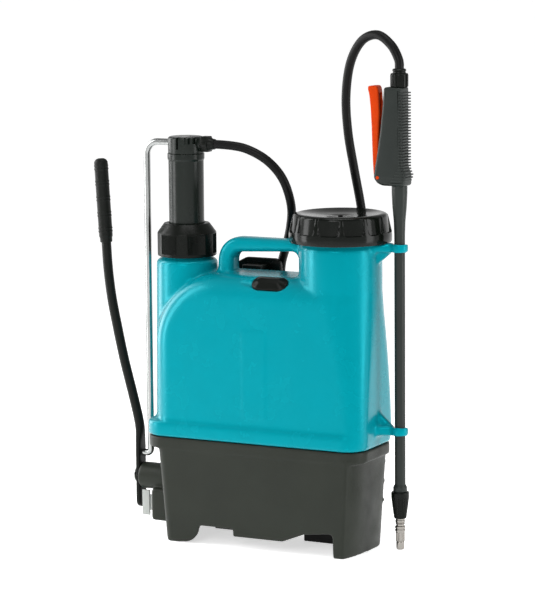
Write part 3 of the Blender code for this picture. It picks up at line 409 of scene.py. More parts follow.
def lofted(name, sections):
    """A closed solid through loops that have the same number of points."""
    count = len(sections[0])
    points = [p for section in sections for p in section]
    faces = [tuple(range(count)), tuple(range(len(points) - count, len(points)))]
    for row in range(len(sections) - 1):
        for k in range(count):
            j = (k + 1) % count
            low, high = row * count, (row + 1) * count
            faces.append((low + k, low + j, high + j, high + k))
    return outward(add_mesh(name, points, faces))


def plate(name, outline, depth, edge=0.0, steps=3):
    """A flat outline in the XY plane, from z = -depth / 2 to depth / 2, with rounded edges."""
    curve = bpy.data.curves.new(name, "CURVE")
    curve.dimensions = "2D"
    curve.fill_mode = "BOTH"
    curve.extrude = depth / 2 - edge
    curve.bevel_depth = edge
    curve.bevel_resolution = steps
    curve.offset = -edge
    spline = curve.splines.new("POLY")
    spline.points.add(len(outline) - 1)
    for point, (x, y) in zip(spline.points, outline):
        point.co = (x, y, 0, 1)
    spline.use_cyclic_u = True
    return baked(add_object(name, curve))


def slab(name, outline, z0, z1, edge=0.0, steps=3):
    return shifted(plate(name, outline, z1 - z0, edge, steps), (0, 0, (z0 + z1) / 2))


def upright(name, outline, y0, y1, edge=0.0, steps=3):
    obj = plate(name, outline, y1 - y0, edge, steps)
    obj.data.transform(Matrix.Translation((0, (y0 + y1) / 2, 0)) @ Matrix.Rotation(math.pi / 2, 4, "X"))
    return obj


def block(name, low, high, edge):
    low, high = Vector(low), Vector(high)
    half = (high - low) / 2
    obj = slab(name, rounded_box(half.x, half.y, edge, 5), -half.z, half.z, edge * 0.98)
    return shifted(obj, (low + high) / 2)


def rod(name, radius, start, end, steps=32):
    start, end = Vector(start), Vector(end)
    along = end - start
    obj = lathe(name, [(0, 0), (radius, 0), (radius, along.length), (0, along.length)], steps=steps, ease=0)
    turn = Vector((0, 0, 1)).rotation_difference(along).to_matrix().to_4x4()
    obj.data.transform(Matrix.Translation(start) @ turn)
    return obj


def smooth_route(points, spacing):
    """Even points along a Catmull-Rom curve through the route points."""
    points = [Vector(p) for p in points]
    ends = [points[0] * 2 - points[1], *points, points[-1] * 2 - points[-2]]
    fine = []
    for a, b, c, d in zip(ends, ends[1:], ends[2:], ends[3:]):
        for k in range(24):
            t = k / 24
            fine.append(
                (2 * b + (c - a) * t + (2 * a - 5 * b + 4 * c - d) * t**2 + (3 * b - a - 3 * c + d) * t**3) / 2
            )
    fine.append(points[-1])
    lengths = np.concatenate([[0], np.cumsum([(q - p).length for p, q in zip(fine, fine[1:])])])
    count = max(2, round(lengths[-1] / spacing))
    wanted = np.linspace(0, lengths[-1], count + 1)
    table = np.array([tuple(p) for p in fine])
    return [Vector(p) for p in np.stack([np.interp(wanted, lengths, table[:, k]) for k in range(3)], axis=1)]


def swept(name, path, section, side=None):
    """A closed solid along a path. section(k) gives (across, up) offsets; side fixes the across direction."""
    tangents = [(path[min(k + 1, len(path) - 1)] - path[max(k - 1, 0)]).normalized() for k in range(len(path))]
    across = Vector(side) if side else tangents[0].orthogonal().normalized()
    sections = []
    for k, (point, along) in enumerate(zip(path, tangents)):
        across = (across - along * across.dot(along)).normalized()
        up = along.cross(across)
        sections.append([point + across * a + up * b for a, b in section(k)])
    return lofted(name, sections)


def round_section(radius, steps=20):
    angles = [2 * math.pi * k / steps for k in range(steps)]
    return [(radius * math.cos(a), radius * math.sin(a)) for a in angles]


def remeshed(obj, voxel):
    step = obj.modifiers.new("voxels", "REMESH")
    step.mode = "VOXEL"
    step.voxel_size = voxel
    return baked(obj)


def coordinates(mesh):
    co = np.empty(len(mesh.vertices) * 3)
    mesh.vertices.foreach_get("co", co)
    return co.reshape(-1, 3)


def set_coordinates(mesh, co):
    mesh.vertices.foreach_set("co", co.ravel())
    mesh.update()


def relax(obj, rounds, weight=None):
    """Evens out a dense mesh, by a weight from 0 to 1 at each vertex."""
    mesh = obj.data
    co = coordinates(mesh)
    edges = np.empty(len(mesh.edges) * 2, int)
    mesh.edges.foreach_get("vertices", edges)
    first, second = edges.reshape(-1, 2).T
    count = len(co)
    degree = np.maximum(np.bincount(edges, minlength=count), 1)[:, None]
    share = 0.6 if weight is None else 0.6 * weight(co)[:, None]
    for _ in range(rounds):
        sums = [
            np.bincount(first, co[second, k], count) + np.bincount(second, co[first, k], count) for k in range(3)
        ]
        around = np.stack(sums, axis=1)
        co = co + share * (around / degree - co)
    set_coordinates(mesh, co)
    return obj


def piece(obj, material, body, *nodes, slot=None, crease=38):
    """Gives a finished shape its place, material and body, and hides the CAD nodes that it stands for."""
    shifted(obj, TANK)
    obj.data.materials.clear()
    obj.data.materials.append(MATERIALS[material])
    obj.data.shade_smooth()
    obj.data.set_sharp_from_angle(angle=math.radians(crease))
    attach(obj, body)
    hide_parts(*nodes)


def turned(name, profile, x, material, body, node, slot=None, crease=38, **shape):
    """A piece turned round the upright axis at x."""
    piece(lathe(name, profile, (x, 0, 0), **shape), material, body, node, slot=slot, crease=crease)


# ---------------------------------------------------------------- hose

HOSE_ROUTE = [
    (-0.0789, 0.000, SPOUT_Z), (-0.058, 0.002, 0.5505), (-0.038, 0.005, 0.5475), (-0.019, 0.008, 0.54),
    (-0.004, 0.012, 0.53), (0.0085, 0.017, 0.516), (0.016, 0.023, 0.5), (0.0192, 0.031, 0.48),
    (0.018, 0.04, 0.46), (0.011, 0.051, 0.44), (0.001, 0.064, 0.421), (-0.012, 0.079, 0.4),
    (-0.0225, 0.087, 0.375), (-0.024, 0.0885, 0.34), (-0.015, 0.088, 0.29), (-0.002, 0.086, 0.25),
    (0.014, 0.084, 0.225), (0.036, 0.079, 0.206), (0.064, 0.076, 0.198), (0.092, 0.078, 0.208),
    (0.112, 0.08, 0.234), (0.121, 0.082, 0.275), (0.122, 0.084, 0.33), (0.115, 0.086, 0.385),
    (0.107, 0.086, 0.43), (0.103, 0.082, 0.47), (0.1, 0.068, 0.52), (0.099, 0.052, 0.57),
    (0.103, 0.038, 0.62), (0.115, 0.027, 0.666), (0.137, 0.017, 0.697), (0.164, 0.009, 0.706),
    (0.187, 0.003, 0.693), (0.199, 0.0005, 0.674), (0.2, 0.0000, 0.663),
]
HOSE_MEETING = Vector((0.014, 0.084, 0.225))


def hose_points():
    """Even points along the hose, and the index of the one inside the clip."""
    points = smooth_route(HOSE_ROUTE, 0.005)
    return points, min(range(len(points)), key=lambda k: (points[k] - HOSE_MEETING).length)


def add_hoses():
    """One hose in two lengths, which meet inside the clip behind the tank."""
    points, meeting = hose_points()
    points[0] += Vector((-0.0025, 0, 0))
    points[-1] += Vector((0, 0, -0.003))
    middle = points[meeting]
    along = (points[meeting + 1] - points[meeting - 1]).normalized()
    to_pump = [*points[:meeting], middle - along * GAP / 2]
    to_lance = [middle + along * GAP / 2, *points[meeting + 1 :]]
    for name, path, node, bodies in (
        ("hose_to_pump", to_pump, "hose_pump_side", ("pressure_chamber", "tank_body")),
        ("hose_to_lance", to_lance, "hose_lance_side", ("tank_body", "lance")),
    ):
        hose = swept(name, path, lambda k: round_section(HOSE_R, 24))
        shifted(hose, TANK)
        hose.data.materials.append(MATERIALS["black_rubber"])
        hose.data.shade_smooth()
        hose.data.set_sharp_from_angle(angle=math.radians(50))
        path = [p + TANK for p in path]
        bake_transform(hose)
        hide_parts(node)


# ---------------------------------------------------------------- tank


def make_loaf(name, inset):
    """The arched middle of the tank, with its front and back edges rounded off."""
    centre_x, centre_z, arch_r, half_depth, edge_r = -0.056, 0.277, 0.1, 0.0585, 0.032
    bottom = SEAM_Z + 0.01 + inset
    edge = edge_r - inset
    turns = [math.radians(5 * k) for k in range(19)]
    sections = []
    for side, angles in ((-1, turns[::-1]), (1, turns)):
        for angle in angles:
            y = side * (half_depth - edge_r + edge * math.sin(angle))
            radius = arch_r - inset - edge * (1 - math.cos(angle))
            outline = arc(centre_x, centre_z, radius, 180, 90, 36)
            outline += [(FILLER_X, centre_z + radius), (FILLER_X, bottom), (centre_x - radius, bottom)]
            sections.append([(x, y, z) for x, z in outline])
    return lofted(name, sections)


def make_filler_column(name, inset, neck_r, neck_top):
    """The tank's right end: a rounded block at the skirt that turns into a round column and a neck."""
    r, shoulder = 0.0567, 0.423 - inset
    marks = np.array([
        (0.158 + inset, 0.0587, 0.006, 0.024), (0.175, 0.0587, 0.006, 0.024), (0.205, 0.0587, 0.006, 0.027),
        (0.245, 0.0587, 0.006, 0.033), (0.275, 0.0587, 0.006, 0.039), (0.3, 0.0587, 0.007, 0.045),
        (0.322, 0.0587, 0.016, 0.051), (0.338, 0.0587, 0.03, 0.055), (0.35, 0.0583, 0.043, 0.0565),
        (0.36, r, r, r), (shoulder - 0.003, r, r, r), (shoulder, r - 0.003, r - 0.003, r - 0.003),
    ])
    heights = sorted({*np.linspace(marks[0, 0], 0.36, 40), shoulder - 0.003, shoulder - 0.001, shoulder})
    sections = []
    for z in heights:
        half_y, left_r, right_r = (np.interp(z, marks[:, 0], marks[:, k]) - inset for k in (1, 2, 3))
        half_x = min(r, half_y + 0.1 if z < 0.36 else half_y + inset) - inset
        outline = []
        for sign_x, sign_y, start in ((1, 1, 0), (-1, 1, 90), (-1, -1, 180), (1, -1, 270)):
            corner = min(half_y, half_x, right_r if sign_x > 0 else left_r)
            cx, cy = FILLER_X + sign_x * (half_x - corner), sign_y * (half_y - corner)
            outline += arc(cx, cy, corner, start + 0.5, start + 89.5, 20)
        sections.append([(x, y, z) for x, y in outline])
    for z in (shoulder, neck_top):
        quarters = [arc(FILLER_X, 0, neck_r, start + 0.5, start + 89.5, 20) for start in (0, 90, 180, 270)]
        sections.append([(x, y, z) for quarter in quarters for x, y in quarter])
    return lofted(name, sections)


def make_pump_column(name, inset, bore, neck_top):
    r, top, bottom = 0.0425 - inset, 0.392 - inset, SEAM_Z + 0.01 + inset
    profile = [
        (0, neck_top), (bore, neck_top), (bore, top), (r - 0.004, top), (r, top - 0.004), (r + 0.003, bottom),
        (0, bottom),
    ]
    return lathe(name, profile, (PUMP_X, 0, 0), ease=0)


def clip_outline(arm_half):
    """Seen from above: an arm from the tank to a C-shaped ring that opens towards +Y."""
    inner_r, outer_r, mouth = 0.0079, 0.0122, 74
    reach = math.degrees(math.asin(arm_half / outer_r))
    inner = arc(LANCE_X, 0, inner_r, 90 + mouth, 450 - mouth, 36)
    outer = arc(LANCE_X, 0, outer_r, 450 - mouth, 180 + reach, 30)
    arm = [(0.165, -arm_half - 0.009), (0.165, arm_half + 0.009), (LANCE_X - inner_r - 0.004, arm_half * 0.6)]
    return [*inner, *outer, *arm]


def make_clips():
    """The lance's two clips with the ribs under the upper one's arm and over the lower one's."""
    arm = clip_outline(0.007)
    cap_room = rod("cap_room", 0.0712, (FILLER_X, 0, 0.4263), (FILLER_X, 0, 0.466), 96)
    upper_web = [(0.1655, 0.396), (0.186, 0.413), (0.189, 0.417), (0.1655, 0.418)]
    lower_web = [(0.1655, 0.177), (0.189, 0.1775), (0.187, 0.181), (0.1655, 0.2)]
    return [
        boolean(slab("upper_clip", arm, 0.416, 0.4285, 0.0012), [cap_room]),
        slab("lower_clip", arm, 0.1655, 0.179, 0.0012),
        upright("upper_web", upper_web, -0.0045, 0.0045, 0.001),
        upright("lower_web", lower_web, -0.0045, 0.0045, 0.001),
    ]


def near(co, centre, size):
    """1 at a place, falling smoothly to 0 at the given half sizes."""
    far = np.sqrt((((co - np.array(centre)) / np.array(size)) ** 2).sum(axis=1))
    return np.clip(1.5 * (1 - far), 0, 1)


def make_tank():
    skirt = slab("tank_shell", rounded_box(0.168, 0.062, 0.03, 16), SEAM_Z, 0.17, 0.004)
    handle = [
        *arc(-0.038, 0.393, 0.033, 180, 90, 20), (0.06, 0.426), (0.08, 0.418),
        (0.08, 0.3775), *arc(0.043, 0.4, 0.0095, 0, 90, 8),
        *arc(-0.0355, 0.3935, 0.012, 90, 180, 10), (-0.048, 0.36), (-0.08, 0.36), (-0.0725, 0.38),
    ]
    extras = [
        make_loaf("loaf", 0),
        make_pump_column("pump_column", 0, 0.0335, 0.425),
        make_filler_column("filler_column", 0, 0.0535, 0.449),
        upright("handle", handle, -0.0155, 0.0155, 0.009, 5),
    ]
    outside = boolean(skirt, extras, "UNION")
    inside = slab("inside", rounded_box(0.1645, 0.0585, 0.0265, 6), SEAM_Z + WALL, 0.17 - WALL)
    voids = [
        make_loaf("loaf_void", WALL),
        make_pump_column("pump_void", WALL, 0.0302, 0.43),
        make_filler_column("filler_void", WALL, 0.05, 0.455),
    ]
    shell = boolean(outside, [boolean(inside, voids, "UNION")])
    shell = relax(remeshed(joined(shell, make_clips()), 0.0016), 4)
    # The places where the handle, the columns and the arch run into each other flow together.
    relax(shell, 26, lambda co: np.maximum.reduce([
        near(co, (-0.064, 0, 0.372), (0.034, 0.045, 0.022)), near(co, (0.056, 0, 0.378), (0.022, 0.06, 0.02)),
        near(co, (0.06, 0, 0.352), (0.03, 0.075, 0.034)), near(co, (-0.083, 0, 0.35), (0.018, 0.06, 0.04)),
        near(co, (0.165, 0, 0.418), (0.012, 0.03, 0.012)), near(co, (0.166, 0, 0.175), (0.012, 0.03, 0.012)),
    ]))
    # The top edge of the skirt is eased once more.
    relax(shell, 5, lambda now: (np.abs(now[:, 2] - 0.17) < 0.008).astype(float))
    co = coordinates(shell.data)
    # The hand's hollow below the handle is an ellipsoid pressed into the shoulder.
    hollow, hollow_half = np.array((0.0145, -0.056, 0.381)), np.array((0.055, 0.018, 0.018))
    off = (co - hollow) / hollow_half
    depth = np.sqrt((off**2).sum(axis=1))
    inside_hollow = depth < 1
    co[inside_hollow] = hollow + (off / depth[:, None] * hollow_half)[inside_hollow]
    # The pocket that holds the strap anchor's oval plug.
    across, slope, lift = plug_frame(co)
    oval = np.hypot(np.maximum(np.abs(across) - 0.0155, 0), slope) / 0.012
    sunk = (oval < 1) & (np.abs(lift) < 0.0045) & (lift > -0.0007)
    co[sunk] -= np.array(PLUG_NORMAL) * (lift[sunk] + 0.0007)[:, None]
    # A faint upright panel on the front.
    rise, slope_width = 0.0005, 0.0022
    edge_x = np.clip((0.0195 - np.abs(co[:, 0] - 0.0075)) / slope_width, 0, 1)
    edge_z = np.clip((0.062 - np.abs(co[:, 2] - 0.244)) / slope_width, 0, 1)
    front = (co[:, 1] < -0.0572).astype(float)
    co[:, 1] -= rise * edge_x * edge_z * front
    set_coordinates(shell.data, co)
    piece(relax(shell, 3), "teal_plastic", "tank_body", "tank", crease=60)


PLUG_CENTRE = (0.0263, -0.0425, 0.368)
PLUG_TILT = math.radians(42)
PLUG_NORMAL = (0, -math.sin(PLUG_TILT), math.cos(PLUG_TILT))


def plug_frame(co):
    """(across, up the slope, out of it) of points, from the middle of the strap anchor's seat."""
    off = co - np.array(PLUG_CENTRE)
    up = np.array((0, math.cos(PLUG_TILT), math.sin(PLUG_TILT)))
    return off[:, 0], off @ up, off @ np.array(PLUG_NORMAL)


def make_plug():
    """The strap anchor's oval plug, with a faceted crown."""
    sections = []
    for height, shrink in ((0, 0), (0.002, 0), (0.0032, 0.0006), (0.0068, 0.0062), (0.0079, 0.0078), (0.008, 0.009)):
        outline = rounded_box(0.027 - shrink * 1.35, 0.0115 - shrink * 0.95, max(0.0114 - shrink * 0.95, 0.0015), 10)
        sections.append([(x, y, height) for x, y in outline])
    plug = lofted("strap_anchor", sections)
    plug.data.transform(Matrix.Translation(PLUG_CENTRE) @ Matrix.Rotation(PLUG_TILT, 4, "X"))
    piece(plug, "black_plastic", "tank_body", "strap_anchor_plug", crease=22)


# ---------------------------------------------------------------- stand


def stand_body(name, inset, low, high):
    """The stand's body, which narrows towards its feet."""
    left = rounded_box(0.1495 - inset, 0.06 - inset, 0.013 - inset, 10)
    right = [
        (0.1452, -0.06), (0.1495, -0.048), (0.153, -0.03), (0.155, -0.008), (0.156, 0.015), (0.156, 0.034),
        (0.1545, 0.045), (0.15, 0.055), (0.142, 0.06),
    ]
    bowed = smooth_route([(x - inset, y * (1 - inset / 0.06), 0) for x, y in right], 0.003)
    body = slab(name, [point for point in left if point[0] < 0] + [(p.x, p.y) for p in bowed], low, high)
    co = coordinates(body.data)
    drop = 1 - np.maximum(co[:, 2], 0) / 0.135
    co[:, 0] = 0.003 + 0.003 * drop + co[:, 0] * (1 - 0.052 * drop)
    co[:, 0] -= 0.0035 * drop * (co[:, 0] > 0)
    co[:, 1] *= 1 - 0.052 * drop
    set_coordinates(body.data, co)
    return body


def make_stand():
    top = SEAM_Z - GAP
    flange = slab("stand_shell", rounded_box(0.1665, 0.0605, 0.0285, 14), 0.131, top, 0.0015)
    boss = [(0, 0.061), (0.0188, 0.061), (0.0188, 0.0015), (0.0173, 0), (0, 0)]
    extras = [
        stand_body("shell", 0, 0.0, 0.135),
        lathe("boss", boss, (-0.1998, 0, PIVOT_Z), "X", ease=0),
        block("side_block", (-0.176, -0.023, 0.018), (-0.136, 0.023, 0.064), 0.004),
    ]
    for k, z in enumerate((0.118, 0.091, 0.064)):
        extras.append(rod(f"bump_{k}", 0.0022, (0.145, 0.047, z), (0.1562 - 0.03 * (0.118 - z), 0.047, z), 16))
    outside = boolean(flange, extras, "UNION")
    gates = [
        (-0.115, -0.01), (-0.112, 0), *arc(-0.106, 0.0262, 0.0255, -90, 0, 12), (-0.0281, 0.0262), (-0.0281, 0.0155),
        (0.0479, 0.0155), (0.0811, 0.0287), (0.1215, 0.033), (0.1247, 0.03), (0.1247, -0.01),
    ]
    cuts = [
        stand_body("cavity", 0.005, -0.01, 0.127),
        upright("gates", gates, -0.08, 0.08),
        rod("shaft_hole", 0.0074, (-0.21, 0, PIVOT_Z), (-0.13, 0, PIVOT_Z), 40),
    ]
    stand = relax(remeshed(boolean(outside, cuts), 0.0015), 4)
    piece(stand, "charcoal_plastic", "tank_body", "base_housing", crease=60)


def make_bracket():
    """The plated angle below the lever's boss: a strip that faces forward, and its tab on the stand."""
    strip = block("bracket_plate", (-0.197, -0.01, 0.022), (-0.1855, -0.007, 0.058), 0.0006)
    tab = block("tab", (-0.19, -0.008, 0.029), (-0.1763, -0.004, 0.051), 0.0004)
    domed = [(0, 0.0004), (0.0018, 0.0002), (0.0022, -0.0006), (0, -0.0006)]
    rivets = [lathe(f"rivet_{k}", domed, (-0.1912, -0.01, z), "Y", 32) for k, z in enumerate((0.0275, 0.0525))]
    for rivet in rivets:
        shifted(rivet, (0, 0.0004, 0))
    strip = boolean(strip, [tab, *rivets], "UNION")
    piece(strip, "plate_steel", "tank_body", "pivot_bracket", slot="zinc_steel")


def make_foot(name, node, x0, x1, y0, top):
    pad = block(name, (x0, y0, 0.0003), (x1, 0.048, top), 0.0018)
    stem = block("stem", (x0 + 0.004, 0.04, 0.006), (x1 - 0.004, 0.0516, top - 0.001), 0.0008)
    grooves = []
    for k in range(4):
        low = (x0 + 0.005 + 0.006 * k, y0 - 0.002, -0.002)
        grooves.append(block(f"groove_{k}", low, (x0 + 0.0065 + 0.006 * k, 0.0465, 0.0016), 0.0003))
    piece(boolean(boolean(pad, [stem], "UNION"), grooves), "black_rubber", "tank_body", node)


# ---------------------------------------------------------------- pump


def grouped_ribs(count, groups, height):
    """A ripple of fine upright ribs in groups, with plain stretches between them."""

    def ripple(angle, radius, z):
        turn = angle * groups / (2 * math.pi) % 1
        if turn > 0.62 or not 0.4 < z < 0.4265:
            return radius
        return radius - height * (0.5 + 0.5 * math.cos(angle * count))

    return ripple


def make_pump_nut():
    bore = 0.0251
    profile = [
        (bore, 0.441), (0.0315, 0.441), (0.041, 0.428), (0.041, 0.426), (0.041, 0.4), (0.041, 0.3965),
        (0.04, 0.3955), (0.0339, 0.3955), (0.0339, 0.432), (bore, 0.432),
    ]
    ribs = grouped_ribs(144, 6, 0.0008)
    turned(
        "pump_union_nut", profile, PUMP_X, "black_plastic", "tank_body", "pump_nut", crease=50, steps=864, ease=0.0009,
        ripple=lambda angle, radius, z: ribs(angle, radius, z) if radius > 0.04 else radius,
    )


def make_chamber():
    r, inner = 0.0245, 0.0217
    profile = [
        (inner, 0.5377), (r + 0.0012, 0.5377), (r + 0.0012, 0.53), (r, 0.528), (r, 0.275), (0.0045, 0.275),
        (0.0045, 0.279), (inner, 0.279),
    ]
    turned(
        "chamber_tube", profile, PUMP_X, "chamber_plastic", "pressure_chamber", "pump_chamber", "charcoal_plastic",
        ease=0.0006,
    )


def make_head():
    """The head that closes the chamber, with its slots, ribs, spout and the rod's cross bore."""
    r, top = 0.0248, 0.561
    outline = [(0, top), (r - 0.002, top), (r, top - 0.002), (r, 0.538), (0, 0.538)]
    head = lathe("chamber_head", outline, (PUMP_X, 0, 0), ease=0.001)
    spout = lathe("spout", [(0, 0.0265), (0.0093, 0.0265), (0.0093, 0), (0, 0)], (PUMP_X, 0, SPOUT_Z), "X", 48, 0.0006)
    collar = [(0, 0.018), (0.0105, 0.018), (0.0105, 0), (0, 0)]
    shoulder = lathe("shoulder", collar, (PUMP_X, 0, SPOUT_Z - 0.0015), "X", 48, 0.001)
    head = boolean(head, [spout, shoulder], "UNION")
    cuts = [rod("bore", 0.0053, (-0.17, 0, 0.552), (-0.132, 0, 0.552))]
    cuts.append(block("notch", (-0.1268, -0.03, 0.5445), (-0.1238, -0.012, 0.57), 0.0006))
    for k in range(4):
        x = -0.1205 + 0.0045 * k
        curve = [(x + 0.0018 * math.sin(math.pi * i / 6), -0.0225 + 0.03 * i / 6) for i in range(7)]
        slot = curve + [(px + 0.0021, py) for px, py in curve[::-1]]
        cuts.append(slab(f"slot_{k}", slot, top - 0.009, top + 0.01))
    head = boolean(head, cuts)
    piece(head, "chamber_plastic", "pressure_chamber", "pump_head", slot="charcoal_plastic", crease=30)


def make_spout_nut():
    face = PUMP_X + 0.0265 + GAP
    nut = plate("spout_nut", eased(arc(0, 0, 0.0125, 0, 300, 5), 0.0012, 3, True), 0.011, 0.001)
    nut.data.transform(Matrix.Rotation(math.radians(30), 4, "Z"))
    nut.data.transform(Matrix.Translation((face + 0.0055, 0, SPOUT_Z)) @ Matrix.Rotation(math.pi / 2, 4, "Y"))
    profile = [(0, 0.019), (0.0072, 0.019), (0.0076, 0.016), (0.009, 0.0125), (0.0098, 0.009), (0, 0.009)]
    sleeve = lathe("sleeve", profile, (face, 0, SPOUT_Z), "X", 48, 0.0005)
    piece(boolean(nut, [sleeve], "UNION"), "black_plastic", "pressure_chamber", "pump_hose_nut", crease=30)


def make_rod():
    """The bent plated rod, from the head's bore down to the short hook beside the lever."""
    bend, hook, hook_z = 0.018, 0.0068, PIVOT_Z + 0.0325
    points = [(-0.14, 0.552), (-0.155, 0.552)]
    points += arc(ROD_X + bend, 0.552 - bend, bend, 90, 180, 20)
    points += [(ROD_X, 0.534 - 0.416 * k / 40) for k in range(1, 40)]
    points += [*arc(ROD_X - hook, hook_z + hook, hook, 0, -90, 12), (-0.1994, hook_z)]
    path = [Vector((x, 0, z)) for x, z in points]
    made = swept("pump_rod", path, lambda k: round_section(0.0048, 32), side=(0, 1, 0))
    piece(made, "zinc_steel", "rod", "connecting_rod", crease=50)


# ---------------------------------------------------------------- lever


def make_lever():
    """The lever: a round tube that flattens into a blade round its pivot."""
    heights = [PIVOT_Z - 0.0455, PIVOT_Z - 0.042, PIVOT_Z - 0.036, PIVOT_Z - 0.02, PIVOT_Z, 0.09, 0.1, 0.11, 0.122]
    upper = [
        (-0.2052, 0, 0.15), (-0.2147, 0, 0.19), (-0.2282, 0, 0.24), (-0.2395, 0, 0.29), (-0.2475, 0, 0.33),
        (-0.2525, 0, 0.37), (-0.255, 0, 0.41), (-0.259, 0, 0.48),
    ]
    path = smooth_route([*((BLADE_X, 0, z) for z in heights), *upper], 0.0035)

    def section(k):
        z = path[k].z
        flat = 1 - min(1, max(0, (z - 0.115) / 0.04))
        flat = flat * flat * (3 - 2 * flat)
        wide = 0.0068 + 0.0036 * flat
        thin = 0.0068 - 0.0032 * flat
        tip = max(0, PIVOT_Z - 0.0355 - z) / 0.0104
        wide *= math.sqrt(max(0.02, 1 - tip * tip))
        power = 1 - 0.55 * flat
        corners = []
        for i in range(32):
            c, s = math.cos(2 * math.pi * i / 32), math.sin(2 * math.pi * i / 32)
            corners.append((wide * math.copysign(abs(c) ** power, c), thin * math.copysign(abs(s) ** power, s)))
        return corners

    lever = swept("lever_bar", path, section, side=(0, 1, 0))
    hole = rod("hole", 0.0073, (-0.23, 0, PIVOT_Z), (-0.18, 0, PIVOT_Z), 40)
    piece(boolean(lever, [hole]), "lever_plastic", "lever", "lever_tube", slot="black_plastic", crease=45)


def make_grip():
    """The hollow grip over the lever's end, with pairs of small rings."""
    length = 0.117
    rings = []
    for k in range(5):
        z = 0.014 + 0.022 * k
        steps = ((0.0097, 0), (0.0104, 0.0015), (0.0097, 0.003), (0.0097, 0.0045), (0.0104, 0.006), (0.0097, 0.0075))
        rings += [(r, z + rise) for r, rise in steps]
    profile = [
        (0, length + 0.0015), (0.0045, length + 0.0013), (0.0078, length - 0.0005), (0.0097, length - 0.004),
        *reversed(rings), (0.0097, 0.009), (0.0088, 0.006), (0.0086, 0), (0.0071, 0), (0.0071, 0.075), (0, 0.075),
    ]
    grip = lathe("lever_handgrip", profile, steps=64, ease=0.0008)
    grip.data.transform(Matrix.Translation((-0.2548, 0, 0.407)) @ Matrix.Rotation(math.atan2(-0.0072, 0.12), 4, "Y"))
    piece(grip, "lever_plastic", "lever", "lever_grip", slot="black_plastic")


def make_shaft():
    profile = [
        (0, 0.072), (0.007, 0.072), (0.007, -0.0045), (0.0105, -0.0045), (0.0105, -0.006), (0.0098, -0.0067),
        (0.004, -0.0067), (0.0036, -0.0061), (0, -0.0061),
    ]
    shaft = lathe("lever_shaft", profile, (BLADE_X, 0, PIVOT_Z), "X", 64, 0.0004)
    piece(shaft, "zinc_steel", "lever", "pivot_shaft")


# ---------------------------------------------------------------- cap


def cap_pocket(angle, radius, z):
    """The radius of the cap's side, with wide U-shaped finger pockets that get deeper downwards."""
    low, high = 0.4405, 0.4645
    if radius < 0.056 or not low < z < high:
        return radius
    pitch, corner, up = math.radians(30), 0.006, z - low
    across = abs((angle - math.radians(11.5) + pitch / 2) % pitch - pitch / 2) * 0.0662
    half = 0.0156 - 0.0012 * (1 - up / (high - low))
    if up < corner:
        half -= corner - math.sqrt(corner**2 - (corner - up) ** 2)
    depth = 0.0003 + 0.0027 * (high - z) / (high - low)
    return radius - depth * min(1, max(0, (half - across) / 0.001))


def make_cap():
    """The screw cap: a dished lid with finger pockets round its side."""
    inner, top = 0.0545, 0.466
    side = [(0.0646 + 0.0049 * k / 23, 0.462 - 0.0009 * k) for k in range(24)]
    profile = [
        (0, top - 0.0052), (0.009, top - 0.005), (0.01, top - 0.0046), (0.03, top - 0.004), (0.046, top - 0.0026),
        (0.054, top - 0.0006), (0.0575, top), (0.06, top - 0.0004), (0.0622, top - 0.0012), (0.0638, top - 0.0026),
        *side, (0.0696, 0.4404), (0.0697, 0.4392), (0.07, 0.437), (0.07, 0.4285), (0.0692, 0.427),
        (inner + 0.004, 0.427), (inner, 0.43), (inner, 0.4552), (0, 0.4552),
    ]
    cap = lathe("screw_cap", profile, (FILLER_X, 0, 0), steps=720, ease=0, ripple=cap_pocket)
    co = coordinates(cap.data)
    x, y = co[:, 0] - FILLER_X, co[:, 1]
    # A shallow bow-tie fold across the dished top.
    radius = np.hypot(x, y)
    fold = np.clip(radius / 0.052, 0, 1) * np.clip((0.0555 - radius) / 0.006, 0, 1)
    co[:, 2] += np.where(co[:, 2] > 0.46, 0.0011 * fold * np.cos(2 * np.arctan2(y, x) - 0.9), 0)
    set_coordinates(cap.data, co)
    hole = rod("vent_hole", 0.0036, (FILLER_X, 0, 0.45), (FILLER_X, 0, 0.48), 32)
    piece(boolean(cap, [hole]), "cap_plastic", "cap", "filler_cap", slot="black_plastic", crease=40)


def make_vent():
    profile = [
        (0, 0.4612), (0.0018, 0.4612), (0.002, 0.4622), (0.0033, 0.4622), (0.0033, 0.4549), (0.007, 0.4549),
        (0.007, 0.4535), (0, 0.4535),
    ]
    turned("vent_valve", profile, FILLER_X, "black_rubber", "cap", "cap_vent_valve", steps=48, ease=0.0003)


# ---------------------------------------------------------------- lance


def handle_outline(inset):
    low, high = 0.506 + inset, 0.638 - inset
    left, right = 0.1822 + inset, 0.2085 - inset
    return [
        (left, high), (left - 0.0028, 0.605), (left - 0.0062, 0.575), (left - 0.01, 0.55), (left - 0.0135, 0.53),
        (0.1665 + inset, 0.5165), (0.172 + inset * 0.5, low + 0.003), (0.18, low),
        (0.2125 - inset, low), (0.213 - inset, 0.519), (0.212 - inset, 0.524), (right, 0.532), (right, high),
    ]


def handle_ribs(side):
    """Fine level ribs round the back edge of one half, which fan out and reach further at its foot."""
    ribs = []
    for k in range(32):
        z, r, wide = 0.5085 + 0.0039 * k, 0.004, 0.0144
        start = 0.2041 - 0.62 * max(0, 0.53 - z)
        end = 0.212 + 0.0035 * math.exp(-(((z - 0.519) / 0.006) ** 2))
        corners = [*arc(end - r, wide - r, r, 0, 90, 5), (start + 0.001, wide), (start, wide - 0.001)]
        outline = [(start, GAP / 2), (end, GAP / 2), *corners]
        ribs.append(slab(f"rib_{k}", [(x, side * y) for x, y in outline], z, z + 0.0016, 0.0001, 1))
    return ribs


